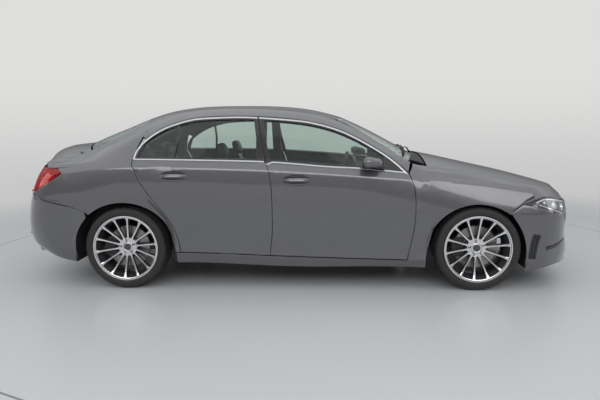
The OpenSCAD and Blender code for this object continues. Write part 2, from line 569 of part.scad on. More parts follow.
// ---- Bumpers, lamps and grille ------------------------------------------------------------------
function mirrored(g) = [for (i = [len(g) - 1 : -1 : 0]) [for (p = g[i]) [p[0], -p[1], p[2]]]];
function rest(g) = [for (i = [1 : len(g) - 1]) g[i]];
tail_u = -2750;
nose_u = 2820;
function arch_edge(a, toward, gap, f1) = [for (f = [0 : 10 : f1]) [arch_z(a, f), a[0] + toward * (a[2] * cos(f) + gap)]];
edge_rear_bumper = line(concat([[150, arch_rear[0] - arch_rear[2]]], arch_edge(arch_rear, -1, 0, 40),
    [[arch_z(arch_rear, 47), arch_rear[0] - arch_rear[2] * cos(47)], [at(bumper_rear_top, -1640), -1640],
        [660, -1641]]));
edge_front_bumper = line(concat([[150, arch_front[0] + arch_front[2]]], arch_edge(arch_front, 1, 0, 40),
    edge_wing_front[0]));
edge_tail = line([[100, tail_u], [1200, tail_u]]);
edge_nose = line([[100, nose_u], [1200, nose_u]]);
lamp_low = curve([[1740, 668], [1823, 648], [1936, 614], [2121, 569], [2242, 524], [2500, 480], [2820, 474]]);
lamp_high = curve([[1740, 669], [1800, 720], [1835, 724], [1927, 722], [2218, 686], [2300, 676], [2500, 696], [2820, 702]]);
intake_low = curve([[1740, 196], [2200, 210], [2820, 205]]);
intake_high = curve([[1740, 330], [2200, 352], [2820, 372]]);
front_bumper_cols = [0, 0.06, 0.13, 0.2, 0.27, 0.34, 0.42, 0.5, 0.54, 0.6, 0.66, 0.72, 0.78, 0.84, 0.89, 0.94, 1];
front_bumper_rows = [0, function(u) at(intake_low, u), function(u) mix(at(intake_low, u), at(intake_high, u), 0.5),
    function(u) at(intake_high, u), function(u) mix(at(intake_high, u), at(lamp_low, u), 0.4),
    function(u) mix(at(intake_high, u), at(lamp_low, u), 0.8),
    function(u) at(lamp_low, u), function(u) mix(at(lamp_low, u), at(lamp_high, u), 0.33),
    function(u) mix(at(lamp_low, u), at(lamp_high, u), 0.67), function(u) at(lamp_high, u), 6.4, 7];
lamp_rows = [6, 9];
lamp_cols = 7;
grille_col = 12;
intake_rows = [1, 3];
intake_col = 11;
function front_half() = panel_grid(edge_front_bumper, edge_nose, front_bumper_cols, front_bumper_rows);
function in_lamp(i, j) = j >= lamp_rows[0] && j < lamp_rows[1] && i < lamp_cols;
function in_grille(i, j) = (j >= lamp_rows[0] && j < lamp_rows[1] && i >= grille_col)
    || (j >= intake_rows[0] && j < intake_rows[1] && i >= intake_col);
module front_bumper() {
    g = front_half();
    n = len(g) - 1;
    color(paint) shell(concat(g, rest(mirrored(g))), skin, 4,
        function(i, j) let(k = i < n ? i : 2 * n - 1 - i) !in_lamp(k, j) && !in_grille(k, j));
}
lamp_set = 2;
lamp_drop = 8;
lamp_deep = 26;
module headlamps() {
    rows = [for (q = shares(3)) function(u) mix(at(lamp_low, u), at(lamp_high, u) - lamp_drop, q)];
    cols = [for (i = [0 : lamp_cols]) front_bumper_cols[i] + (i == 1 ? 0.016 : 0)];
    g = panel_grid(edge_front_bumper, edge_nose, cols, rows);
    color("#e8ecee") for (left = [false, true]) on_side(left)
        solid_between(drawn_in(inset(g, lamp_set), seam), drawn_in(inset(g, lamp_deep), 20),
            function(i, j) i > 0);
}
grille_set = 16;
grille_thick = 6;
module grille() {
    g = front_half();
    n = len(g) - 1;
    all = concat(g, rest(mirrored(g)));
    last = 2 * n;
    upper = part(all, grille_col - 1, last - grille_col + 1, lamp_rows[0] - 1, lamp_rows[1] + 1);
    lower = part(all, intake_col - 1, last - intake_col + 1, intake_rows[0], intake_rows[1] + 1);
    color("#101113") for (p = [upper, lower])
        solid_between(inset(p, skin + seam), inset(p, skin + seam + grille_thick));
}
rear_bumper_cols = [0, 0.1, 0.2, 0.3, 0.4, 0.5, 0.6, 0.68, 0.75, 0.82, 0.88, 0.94, 1];
rear_bumper_rows = concat([0, 0.5], [for (q = shares(7)) function(u) mix(body_at(u, 1)[2], at(bumper_rear_top, u), q)]);
module rear_bumper() {
    g = panel_grid(edge_tail, edge_rear_bumper, rear_bumper_cols, rear_bumper_rows);
    color(paint) shell(concat(mirrored(g), rest(g)), skin, 5);
}
tail_lamp_low = line([[-2379, 746], [-2250, 758], [-2112, 765], [-1902, 831], [-1823, 876], [-1768, 909]]);
tail_lamp_high = line([[-2379, 951], [-2188, 954], [-1832, 950], [-1768, 914]]);
lamp_foot_u = -2200;
module tail_lamps() {
    us = [-2376, -2320, -2260, -2200, -2150, -2110, -2050, -1980, -1900, -1860, -1822, -1790];
    g = [for (u = us) [for (q = shares(4)) real(body_at_z(u, mix(at(tail_lamp_low, u), at(tail_lamp_high, u), q)))]];
    foot = real(body_at_z(lamp_foot_u, at(bumper_rear_top, lamp_foot_u)));
    color("#8c1212") for (left = [false, true]) on_side(left) {
        shell(drawn_in(g, 3), 34, 6);
        // A foot that rests on the bumper
        translate(foot + [-1, -5, 0.7]) cube([6, 6, 18]);
    }
}
// The inner parts of the tail lamps lie on the boot lid
boot_lamp_proud = 6;
module boot_lamps() {
    us = [for (k = [4 : -1 : 0]) mix(tail_u, lid_side_u, 1 - k / 8) + (k == 0 ? -6 : 0)];
    g = [for (u = us) [for (q = [0.2, 0.4, 0.6, 0.8, 0.97])
        real(body_at_z(u, mix(at(bumper_rear_top, u) + shut_gap, lid_lamp_top - 6, q)))]];
    color("#8c1212") for (left = [false, true]) on_side(left)
        solid_between(inset(g, -boot_lamp_proud), inset(g, -0.5));
}
skirt_deep = 40;
function skirt_grid() = [for (i = [0 : 14])
    let(u = mix(arch_rear[0] + arch_rear[2] + 2, arch_front[0] - arch_front[2] - 2, i / 14))
    [for (t = [0, 0.5, 1]) real(body_at(u, t) - [0, 0, t == 1 ? seam : 0])]];
module side_skirts() {
    color(paint) for (left = [false, true]) on_side(left) shell(skirt_grid(), skirt_deep, 10);
}

// ---- Mirrors ------------------------------------------------------------------------------------
mirror_at = [622, 918, 985];
mirror_foot = [700, 948];
module door_mirror(left) {
    c = real(mirror_at);
    foot = real(body_at_z(mirror_foot[0], mirror_foot[1]));
    color(paint) on_side(left) {
        hull() {
            translate(c + [-40, -28, 6]) sphere(r = 44, $fn = 24);
            translate(c + [-48, 50, 10]) sphere(r = 44, $fn = 24);
            translate(c + [30, -40, 0]) sphere(r = 34, $fn = 24);
            translate(c + [28, 34, 4]) sphere(r = 30, $fn = 24);
        }
        hull() {
            translate(c + [10, -40, -20]) sphere(r = 18, $fn = 24);
            translate(foot + [0, 28, 4]) sphere(r = 14, $fn = 24);
        }
        translate(foot + [0, 5.2, 0]) rotate([-90, 0, 0]) cylinder(r = 8, h = 22);
    }
}

// ---- Wheels -------------------------------------------------------------------------------------
rim_r = rim_diameter / 2;
bead_r = rim_r - 17;
rim_half = tyre_width / 2 - 4;
module wheel_at(x, track, left) {
    translate([x, (left ? 1 : -1) * track / 2, hub_z]) mirror([0, left ? 0 : 1, 0]) rotate([-90, 0, 0]) children();
}
axle_r = 20;
disc_r = disc_diameter / 2;
hub_back = -80;
// A wheel with its brake disc and stub axle, on its own axis with its outer face upwards
module wheel() {
    well_r = bead_r - 8;
    rotate_extrude($fn = 96) polygon([[well_r, -rim_half], [rim_r, -rim_half], [rim_r, -rim_half + 7], [bead_r, -rim_half + 8],
        [bead_r, rim_half - 8], [rim_r, rim_half - 7], [rim_r, rim_half], [well_r, rim_half - 4]]);
    for (i = [0 : spoke_count - 1]) rotate([0, 0, i * 360 / spoke_count]) translate([0, 5.5, 0]) rotate([90, 0, 0])
        linear_extrude(height = 11) polygon([[60, 38], [well_r + 2, 62], [well_r + 2, rim_half - 12], [150, 78], [60, 58]]);
    cylinder(r = 78, h = 28, center = false);
    translate([0, 0, 28]) cylinder(r = 76, h = 26);
    translate([0, 0, -12]) cylinder(r = disc_r, h = 24, $fn = 96);
    translate([0, 0, hub_back]) cylinder(r = axle_r, h = 80);
}
module tyre() {
    half = tyre_width / 2;
    r = tyre_diameter / 2;
    rotate_extrude($fn = 96) polygon([[bead_r + 0.4, -rim_half + 9], [rim_r + 1, -rim_half + 8.4], [rim_r + 3, -rim_half - 1],
        [rim_r + 22, -half], [r - 24, -half + 4], [r - 8, -half + 14], [r - 1, -half + 32], [r, 0],
        [r - 1, half - 32], [r - 8, half - 14], [r - 24, half - 4], [rim_r + 22, half],
        [rim_r + 3, rim_half + 1], [rim_r + 1, rim_half - 8.4], [bead_r + 0.4, rim_half - 9]]);
}
module wheel_node(x, track, left) {
    color("#b9bcc0") wheel_at(x, track, left) wheel();
}
module tyre_node(x, track, left) {
    color("#1b1b1c") wheel_at(x, track, left) tyre();
}

// ---- Running gear -------------------------------------------------------------------------------
pin_fit = 0.4;
steer_in = 75;
post_half = 110;
// The carrier round a stub axle, with its brake caliper
module carrier() {
    difference() {
        translate([0, 0, -96]) cylinder(r = 46, h = 80);
        translate([0, 0, -90]) cylinder(r = axle_r + pin_fit, h = 90);
    }
    caliper();
}
module caliper() {
    intersection() {
        difference() {
            translate([0, 0, -46]) cylinder(r = disc_r + 18, h = 72, $fn = 96);
            translate([0, 0, -46.1]) cylinder(r = disc_r - 62, h = 73, $fn = 96);
            translate([0, 0, -15]) cylinder(r = disc_r + 5, h = 30, $fn = 96);
        }
        translate([-disc_r - 40, -75, -50]) cube([disc_r - 20, 150, 100]);
    }
    translate([-disc_r + 30, -30, -46]) cube([disc_r - 70, 60, 20]);
}
module knuckle(left) {
    color("#4a4c50") {
        wheel_at(front_axle_x, track_front, left) carrier();
        translate([front_axle_x, (left ? 1 : -1) * (track_front / 2 - steer_in), hub_z])
            difference() {
                translate([0, 0, -post_half]) cylinder(r = 20, h = 2 * post_half);
                rotate([90, 0, 0]) cylinder(r = axle_r + pin_fit + 3, h = 90, center = true);
            }
    }
}
arm_gap = 0.4;
module front_axle() {
    y1 = track_front / 2 - steer_in;
    color("#2b2c2e") {
        translate([front_axle_x - 60, -rail_y - 40, under_z]) cube([140, 2 * rail_y + 80, member_h]);
        for (s = [-1, 1]) for (z = [-1, 1]) translate([front_axle_x, s * y1, hub_z + z * (post_half + arm_gap)])
            mirror([0, 0, z < 0 ? 1 : 0]) {
                cylinder(r = 22, h = 18);
                translate([-14, s < 0 ? 0 : -(y1 - 300), 0]) cube([28, y1 - 300, 18]);
            }
        for (s = [-1, 1]) translate([front_axle_x - 30, s * (rail_y + 20) - 20, under_z]) cube([60, 40, rail_z - 0.3 - under_z]);
    }
}
module rear_axle() {
    y1 = track_rear / 2 - 96;
    color("#2b2c2e") {
        for (left = [false, true]) wheel_at(rear_axle_x, track_rear, left) carrier();
        for (s = [-1, 1]) translate([rear_axle_x - 25, s > 0 ? y1 - 200 : -y1 - 2, hub_z - 30]) cube([50, 202, 60]);
        translate([rear_axle_x - 70, -490, hub_z - 60]) cube([140, 980, 70]);
        for (s = [-1, 1]) translate([rear_axle_x - 40, s * 430 - 30, hub_z]) cube([80, 60, boot_floor_z - 0.3 - hub_z]);
    }
}
under_z = hub_z - 165;
member_h = 50;
module engine() {
    color("#6c6e70") translate([front_axle_x - 190, -270, under_z + member_h]) cube([520, 560, 470]);
}
pipe_z = 168;
pipe_r = 22;
module exhaust() {
    x0 = rear_axle_x - 560;
    color("#8f9092") {
        translate([x0, 0, 238]) rotate([90, 0, 0]) cylinder(r = 66, h = 460, center = true);
        translate([x0, -150, pipe_z + 20]) rotate([0, 90, 0]) cylinder(r = pipe_r, h = 240);
        translate([x0 + 230, -150, pipe_z + 20]) rotate([0, 90, 0]) cylinder(r = 16, h = 20);
        translate([x0 + 240, -150, pipe_z]) rotate([0, 90, 0]) cylinder(r = pipe_r, h = front_axle_x - x0 - 700);
        for (x = [rear_axle_x + 500, front_axle_x - 600]) translate([x, -165, pipe_z]) cube([40, 30, floor_z - pipe_z]);
    }
}

// ---- Body structure -----------------------------------------------------------------------------
floor_z = 205;
floor_thick = 26;
sill_y = 700 * ky;
sill_high = 100;
pillar_y = 780 * ky;
floor_back_x = rear_axle_x + 360;
floor_front_x = front_axle_x - 430;
bulkhead = 24;
boot_floor_z = 400;
shelf_z = 1010 * kz;
rear_wall_x = rear_axle_x - 100;
rail_y = 390;
rail_wide = 70;
rail_z = 470;
front_house_r = arch_front[2] + 24;
rear_house_r = arch_rear[2] + 12;
house_wall = 4;
front_house_y = rail_y + rail_wide;
rear_house_y = 596;
house_out_y = 836 * ky;
bonnet_hinge = [950, 640, 945];
boot_hinge = [-1640, 572, 1075];
boot_barrel_r = 10;
hinge_plate = 6;
// Half a drum over a wheel, closed on its inner side
module wheelhouse(x, y, r, open_z) {
    translate([x, house_out_y, hub_z]) rotate([90, 0, 0]) difference() {
        cylinder(r = r + house_wall, h = house_out_y - y, $fn = 96);
        translate([0, 0, -1]) cylinder(r = r, h = house_out_y - y - house_wall + 1, $fn = 96);
        translate([-2 * r, -2 * r, -1]) cube([4 * r, 2 * r, 2 * house_out_y]);
        translate([-80, -1, 0]) cube([160, open_z, 2 * house_out_y]);
    }
}
module floor_pan() {
    x0 = floor_back_x;
    x1 = floor_front_x;
    tail = -car_length / 2;
    color("#3a3d40") {
        // Floor, sills, bulkhead and the wall under the rear seat
        translate([x0, -sill_y, floor_z]) cube([x1 - x0, 2 * sill_y, floor_thick]);
        translate([x1 - bulkhead, -sill_y, floor_z]) cube([bulkhead, 2 * sill_y, 640 * kz]);
        translate([x0, -sill_y, floor_z]) cube([bulkhead, 2 * sill_y, boot_floor_z + bulkhead - floor_z]);
        // Boot floor, the wall behind the rear seat and both crash beams
        translate([tail + 190, -rear_house_y, boot_floor_z]) cube([x0 - tail - 190, 2 * rear_house_y, bulkhead]);
        translate([rear_wall_x, -rear_house_y, boot_floor_z]) cube([12, 2 * rear_house_y, shelf_z - boot_floor_z]);
        translate([tail + 130, -520, boot_floor_z]) cube([62, 1040, 90]);
        translate([-tail - 180, -520, 450]) cube([50, 1040, 110]);
        for (left = [false, true]) on_side(left) {
            solid_between(inset(skirt_grid(), skirt_deep + 0.3), inset(skirt_grid(), skirt_deep + 50));
            translate([x0, sill_y - 10, floor_z]) cube([x1 - x0, pillar_y - sill_y + 10, sill_high]);
            translate([x1 - 30, rail_y, rail_z]) cube([-tail - x1 - 120, rail_wide, 80]);
            for (h = [front_hinge, rear_hinge]) translate([h[0] - 40, sill_y, floor_z])
                cube([80, pillar_y - sill_y, 700 * kz]);
            // The upper part of the centre pillar leans in with the side glass
            translate([real_x(-290), 0, 0]) rotate([90, 0, 90]) linear_extrude(height = 80)
                polygon([[pillar_y - 40, 880 * kz], [pillar_y, 880 * kz], [600 * ky, 1326 * kz], [560 * ky, 1326 * kz]]);
            wheelhouse(front_axle_x, front_house_y, front_house_r, 160);
            wheelhouse(rear_axle_x, rear_house_y, rear_house_r, 75);
            body_hinge_leaves(front_hinge);
            body_hinge_leaves(rear_hinge);
            bonnet_bracket();
        }
    }
}
module bonnet_bracket() {
    h = real(bonnet_hinge);
    translate([floor_front_x - bulkhead, h[1] + hinge_plate + 0.4, floor_z + 600 * kz]) cube([bulkhead, 30, h[2] - floor_z - 600 * kz]);
    translate(h + [0, hinge_plate + 0.4, 0]) rotate([-90, 0, 0]) cylinder(r = 16, h = 20);
}
// The bonnet's half of each hinge: an arm back to its pivot
module bonnet_arm() {
    h = real(bonnet_hinge);
    translate(h) rotate([-90, 0, 0]) cylinder(r = 14, h = hinge_plate);
    translate(h + [0, hinge_plate, 0]) rotate([90, 0, 0]) linear_extrude(height = hinge_plate)
        polygon([[0, -12], [170, -40], [170, -6], [0, 12]]);
}
// The shelf behind the rear seat, with the boot lid's hinge brackets
shelf_thick = 14;
module parcel_shelf() {
    h = real(boot_hinge);
    x0 = real_x(-1690);
    color("#26272a") {
        difference() {
            translate([x0, -rear_house_y * 0.99, shelf_z + 0.3])
                cube([rear_axle_x - 60 - x0, rear_house_y * 1.98, shelf_thick]);
            // Slots for the arms of the boot lid
            for (left = [false, true]) on_side(left)
                translate([x0 - 1, h[1] - 6, shelf_z - 1]) cube([h[0] + 30 - x0, hinge_plate + 12, shelf_thick + 4]);
        }
        for (left = [false, true]) on_side(left) {
            translate(h + [0, hinge_plate + 0.4, 0]) rotate([-90, 0, 0]) cylinder(r = boot_barrel_r, h = 14);
            translate([h[0] - 8, h[1] + hinge_plate + 0.4, shelf_z + 1]) cube([16, 14, h[2] - shelf_z]);
        }
    }
}
module boot_arm() {
    h = real(boot_hinge);
    translate(h) rotate([-90, 0, 0]) cylinder(r = boot_barrel_r, h = hinge_plate);
    // A gooseneck, which swings up behind the lower edge of the rear window
    translate(h + [0, hinge_plate, 0]) rotate([90, 0, 0]) linear_extrude(height = hinge_plate)
        polygon([[9, 0], [8, -34], [-12, -57], [-60, -44], [-124, -24], [-120, -3], [-98, -5], [-54, -27],
            [-17, -42], [-7, -28], [-9, 0]]);
}

// ---- Cabin --------------------------------------------------------------------------------------
seat_y = 370;
cushion_z = 470;
seat_x = -60;
module seat_body(w) {
    hull() for (x = [-240, 230]) for (y = [-1, 1]) translate([x, y * (w / 2 - 40), 0]) cylinder(r = 40, h = 120, $fn = 32);
}
module seat_back(w, h) {
    hull() for (z = [40, h - 60]) for (y = [-1, 1]) translate([0, y * (w / 2 - (z > 100 ? 70 : 45)), z])
        rotate([0, 90, 0]) cylinder(r = 45, h = 110, center = true, $fn = 32);
}
module front_seats() {
    color("#1d1e20") for (s = [-1, 1]) translate([real_x(seat_x), s * seat_y * ky, 0]) {
        translate([0, 0, cushion_z - 120]) seat_body(seat_width);
        translate([-330, 0, cushion_z - 90]) rotate([0, -20, 0]) {
            seat_back(seat_width, 620);
            translate([0, 0, 700]) hull() for (y = [-1, 1]) translate([0, y * 90, 0]) rotate([0, 90, 0])
                cylinder(r = 55, h = 80, center = true, $fn = 32);
            for (y = [-1, 1]) translate([0, y * 60, 560]) cylinder(r = 7, h = 120);
        }
        translate([-200, -seat_width / 2 + 60, floor_z + floor_thick])
            cube([380, seat_width - 120, cushion_z - 120 - floor_z - floor_thick]);
    }
}
module rear_seat() {
    w = 1180 * ky;
    color("#1d1e20") translate([rear_axle_x, 0, 0]) {
        translate([450, 0, boot_floor_z + bulkhead + 0.3]) hull() for (x = [-150, 210]) for (y = [-1, 1])
            translate([x, y * (w / 2 - 50), 0]) cylinder(r = 50, h = 70, $fn = 32);
        translate([205, 0, boot_floor_z + 60]) rotate([0, -22, 0])
            hull() for (z = [40, 520]) for (y = [-1, 1]) translate([0, y * (w / 2 - 60), z])
                rotate([0, 90, 0]) cylinder(r = 50, h = 100, center = true, $fn = 32);
    }
}
column_tilt = 24;
wheel_centre = [front_axle_x - 1020, seat_y * ky, 830 * kz];
shaft_len = 70;
module on_column() {
    translate(wheel_centre) rotate([0, 90 + column_tilt, 0]) children();
}
module dashboard() {
    w = 1360 * ky;
    x1 = floor_front_x - bulkhead;
    color("#202225") {
        translate([0, w / 2, 0]) rotate([90, 0, 0]) linear_extrude(height = w)
            polygon([[x1, 830 * kz], [x1 - 60, 885 * kz], [x1 - 420, 892 * kz], [x1 - 486, 830 * kz],
                [x1 - 420, 650 * kz], [x1 - 240, 560 * kz], [x1, 560 * kz]]);
        on_column() translate([0, 0, shaft_len + 0.4]) cylinder(r = 30, h = 120);
    }
}
module steering_wheel() {
    r = steering_wheel_diameter / 2;
    color("#141416") on_column() {
        rotate_extrude($fn = 64) translate([r - 15, 0]) circle(r = 15);
        cylinder(r = 52, h = 44, center = true);
        for (a = [0, 90, 180]) rotate([0, 0, a - 90]) translate([30, -18, -9]) cube([r - 40, 36, 18]);
        cylinder(r = 22, h = shaft_len);
    }
}

// ---- Plate holders --------------------------------------------------------------------------------
plate_w = 520;
plate_h = 112;
plate_t = 10;
plate_hole = 3;
plate_hole_gap = 290;
module plate_holder() {
    difference() {
        translate([-plate_t / 2, -plate_w / 2, -plate_h / 2]) cube([plate_t, plate_w, plate_h]);
        for (s = [-1, 1]) translate([0, s * plate_hole_gap / 2, 0]) rotate([0, 90, 0])
            cylinder(r = plate_hole, h = 2 * plate_t, center = true);
    }
}
front_plate_z = 420;
rear_plate_z = 830;
plate_rows = [-0.5, -0.25, 0, 0.25, 0.5];
front_plate_rows = [0, 0.4, 0.8, 1];
front_plate_x = max([for (q = front_plate_rows)
    real(body_at_z(nose_u, mix(at(intake_high, nose_u), at(lamp_low, nose_u), q)))[0]]) + plate_t / 2 + 0.5;
rear_plate_x = min([for (q = plate_rows) real(body_at_z(tail_u, rear_plate_z + q * plate_h))[0]]) - plate_t / 2 - 0.5;
module front_plate_holder() {
    color("#202124") translate([front_plate_x, 0, front_plate_z * kz]) plate_holder();
}
module rear_plate_holder() {
    color("#202124") translate([rear_plate_x, 0, rear_plate_z * kz]) plate_holder();
}

body_side(false);  // body_side_right
body_side(true);  // body_side_left
front_wing(false);  // front_wing_right
front_wing(true);  // front_wing_left
front_door(false);  // front_door_right
front_door(true);  // front_door_left
rear_door(false);  // rear_door_right
rear_door(true);  // rear_door_left
front_door_glass(false);  // front_door_glass_right
front_door_glass(true);  // front_door_glass_left
rear_door_glass(false);  // rear_door_glass_right
rear_door_glass(true);  // rear_door_glass_left
roof_panel();
windscreen();
rear_window();
bonnet();
boot_lid();
cowl();
front_bumper();
rear_bumper();
grille();
headlamps();
tail_lamps();
boot_lamps();
side_skirts();
door_mirror(false);  // door_mirror_right
door_mirror(true);  // door_mirror_left
wheel_node(front_axle_x, track_front, false);  // wheel_front_right
tyre_node(front_axle_x, track_front, false);  // tyre_front_right
wheel_node(front_axle_x, track_front, true);  // wheel_front_left
tyre_node(front_axle_x, track_front, true);  // tyre_front_left
wheel_node(rear_axle_x, track_rear, false);  // wheel_rear_right
tyre_node(rear_axle_x, track_rear, false);  // tyre_rear_right
wheel_node(rear_axle_x, track_rear, true);  // wheel_rear_left
tyre_node(rear_axle_x, track_rear, true);  // tyre_rear_left
knuckle(false);  // knuckle_right
knuckle(true);  // knuckle_left
front_axle();
rear_axle();
engine();
exhaust();
floor_pan();
front_seats();
rear_seat();
dashboard();
steering_wheel();
parcel_shelf();
front_plate_holder();
rear_plate_holder();
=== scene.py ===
import json
import math

import bmesh
import bpy
from mathutils import Matrix, Vector


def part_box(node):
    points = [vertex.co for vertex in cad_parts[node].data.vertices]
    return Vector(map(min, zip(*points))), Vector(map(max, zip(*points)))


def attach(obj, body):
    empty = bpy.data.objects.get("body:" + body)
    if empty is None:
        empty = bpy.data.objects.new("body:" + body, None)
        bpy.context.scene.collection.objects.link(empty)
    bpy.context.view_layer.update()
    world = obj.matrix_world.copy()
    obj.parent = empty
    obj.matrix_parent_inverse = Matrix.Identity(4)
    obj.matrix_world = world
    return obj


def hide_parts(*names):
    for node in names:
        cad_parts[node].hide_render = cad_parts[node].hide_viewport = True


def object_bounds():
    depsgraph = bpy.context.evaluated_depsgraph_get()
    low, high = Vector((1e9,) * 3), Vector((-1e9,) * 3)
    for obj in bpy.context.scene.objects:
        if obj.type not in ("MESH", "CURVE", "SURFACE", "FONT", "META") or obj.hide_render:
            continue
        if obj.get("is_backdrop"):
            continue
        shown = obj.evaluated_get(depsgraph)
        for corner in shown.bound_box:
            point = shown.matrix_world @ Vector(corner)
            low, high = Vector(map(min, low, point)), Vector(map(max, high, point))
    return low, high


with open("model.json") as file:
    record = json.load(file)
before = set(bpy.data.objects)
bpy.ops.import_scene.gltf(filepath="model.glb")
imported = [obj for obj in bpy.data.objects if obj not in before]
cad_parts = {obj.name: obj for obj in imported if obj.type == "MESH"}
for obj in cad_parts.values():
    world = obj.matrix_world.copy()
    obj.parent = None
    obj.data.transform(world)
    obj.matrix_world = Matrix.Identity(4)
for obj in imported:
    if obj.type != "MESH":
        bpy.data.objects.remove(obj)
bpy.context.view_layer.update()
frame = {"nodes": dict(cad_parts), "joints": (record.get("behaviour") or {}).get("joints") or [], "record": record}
NODES = frame["nodes"]
SIDES = {"right": -1, "left": 1}


# ---- Working by hand ---------------------------------------------------------------------------
def only(obj):
    """Leaves obj alone selected and active."""
    bpy.ops.object.select_all(action="DESELECT")
    obj.select_set(True)
    bpy.context.view_layer.objects.active = obj
    return obj


def edit(obj, mode="VERT"):
    """Opens obj for editing with nothing selected."""
    only(obj)
    bpy.ops.object.mode_set(mode="EDIT")
    bpy.ops.mesh.select_mode(type=mode)
    bpy.ops.mesh.select_all(action="DESELECT")


def leave():
    bpy.ops.object.mode_set(mode="OBJECT")


def pick(obj, test, kind="faces"):
    """Selects the faces, edges or vertices of the open mesh that pass test."""
    mesh = bmesh.from_edit_mesh(obj.data)
    for item in getattr(mesh, kind):
        item.select_set(bool(test(item)))
    mesh.select_flush_mode()
    bmesh.update_edit_mesh(obj.data)


def apply_modifiers(obj):
    only(obj)
    for m in list(obj.modifiers):
        bpy.ops.object.modifier_apply(modifier=m.name)


def settle(obj):
    """Leaves the object at the origin with its place in its mesh."""
    only(obj)
    bpy.ops.object.transform_apply(location=True, rotation=True, scale=True)
    return obj


def smooth(obj, angle=32):
    only(obj)
    bpy.ops.object.shade_smooth_by_angle(angle=math.radians(angle))
    return obj


def subdivided(obj, levels=2):
    m = obj.modifiers.new("Subdivision", "SUBSURF")
    m.levels = m.render_levels = levels
    apply_modifiers(obj)
    return obj


def bevelled(obj, width, segments=2, angle=35):
    m = obj.modifiers.new("Bevel", "BEVEL")
    m.width, m.segments, m.limit_method = width, segments, "ANGLE"
    m.angle_limit = math.radians(angle)
    m.harden_normals = False
    apply_modifiers(obj)
    return obj


def joined(name, parts):
    only(parts[0])
    for p in parts[1:]:
        p.select_set(True)
    bpy.ops.object.join()
    parts[0].name = parts[0].data.name = name
    return parts[0]


def own_copy(obj, name, matrix=None):
    new = bpy.data.objects.new(name, obj.data.copy())
    bpy.context.scene.collection.objects.link(new)
    if matrix is not None:
        new.data.transform(matrix)
        if matrix.determinant() < 0:
            new.data.flip_normals()
    return new


def dressed(obj, material, body, slot, *nodes):
    """Gives a finished piece its material, the body it rides on and the nodes it stands for."""
    if material is not None:
        obj.data.materials.clear()
        obj.data.materials.append(material)
    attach(obj, body)
    if nodes:
        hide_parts(*nodes)
    return obj


def body_of(node):
    return next(b for b, members in frame["record"]["behaviour"]["bodies"].items() if node in members)


# ---- Working with shader nodes -------------------------------------------------------------------
def link(tree, target, sockets):
    """Links each socket of target that is given as (node, output), and sets each one given as a value."""
    for key, value in sockets.items():
        if isinstance(value, tuple) and isinstance(value[0], bpy.types.Node):
            tree.links.new(value[0].outputs[value[1]], target.inputs[key])
        else:
            target.inputs[key].default_value = value


def node(tree, kind, sockets=None, **settings):
    """Adds a node with its settings and its linked or set sockets."""
    n = tree.nodes.new(kind)
    for key, value in settings.items():
        setattr(n, key, value)
    link(tree, n, sockets or {})
    return n


def ramp_between(tree, source, low, high, places=(0.0, 1.0), interpolation="LINEAR"):
    """A colour ramp from low to high, driven by a (node, output)."""
    ramp = node(tree, "ShaderNodeValToRGB", {"Fac": source})
    ramp.color_ramp.interpolation = interpolation
    for element, place, colour in zip(ramp.color_ramp.elements, places, (low, high)):
        element.position, element.color = place, (*colour, 1)
    return ramp


def new_material(name):
    material = bpy.data.materials.new(name)
    material.use_nodes = True
    return material, material.node_tree, material.node_tree.nodes["Principled BSDF"]


def effect(name, inputs, outputs):
    """An empty node group with named inputs {name: default} and outputs {name: socket type}."""
    group = bpy.data.node_groups.new(name, "ShaderNodeTree")
    for key, value in inputs.items():
        kind = "NodeSocketColor" if isinstance(value, tuple) else "NodeSocketFloat"
        socket = group.interface.new_socket(key, in_out="INPUT", socket_type=kind)
        socket.default_value = value
    for key, kind in outputs.items():
        group.interface.new_socket(key, in_out="OUTPUT", socket_type=kind)
    return group, group.nodes.new("NodeGroupInput"), group.nodes.new("NodeGroupOutput")


# ---- Camera, studio and lamps --------------------------------------------------------------------
CAMERA_PLACE = (0.264, -4.896, 1.285)
TURNTABLE_MIDDLE, TURNTABLE_RADIUS, TURNTABLE_EDGE = (0.15, 0.55, 0), 3.42, 0.007
FLOOR_ENDS = (3.7, 6.4)

yaw, pitch, roll = (math.radians(angle) for angle in (-2.85, 8.18, -0.473))
forward = Vector((math.sin(yaw) * math.cos(pitch), math.cos(yaw) * math.cos(pitch), -math.sin(pitch)))
right = forward.cross(Vector((0, 0, 1))).normalized()
up = right.cross(forward)
right, up = right * math.cos(roll) + up * math.sin(roll), up * math.cos(roll) - right * math.sin(roll)
camera = bpy.data.objects.new("Camera", bpy.data.cameras.new("Camera"))
bpy.context.scene.collection.objects.link(camera)
camera.matrix_world = Matrix.Translation(CAMERA_PLACE) @ Matrix((right, up, -forward)).transposed().to_4x4()
camera.data.lens = 31.97
camera.data.sensor_width = 36
camera.data.clip_start, camera.data.clip_end = 0.05, 200
bpy.context.scene.camera = camera
bpy.context.scene.view_settings.view_transform = "Standard"

# Backdrop: the tone of the wall for a height in a direction, with painted shade that makes it a little darker
# towards the floor
wall, wall_in, wall_out = effect("Backdrop tone", {"Height": 0.0}, {"Colour": "NodeSocketColor"})
height = node(wall, "ShaderNodeMapRange", {"Value": (wall_in, "Height"), "From Min": -0.35, "From Max": 0.35})
wall_shade_ramp = ramp_between(wall, (height, "Result"), (0.560, 0.560, 0.562), (0.735, 0.730, 0.722), (0.30, 0.62),
    "EASE")
link(wall, wall_out, {"Colour": (wall_shade_ramp, "Color")})


def seen_straight(tree):
    """The light path, and a mask of camera rays and of rays through glass."""
    path = node(tree, "ShaderNodeLightPath")
    straight = {0: (path, "Is Camera Ray"), 1: (path, "Is Transmission Ray")}
    return path, node(tree, "ShaderNodeMath", straight, operation="MAXIMUM")


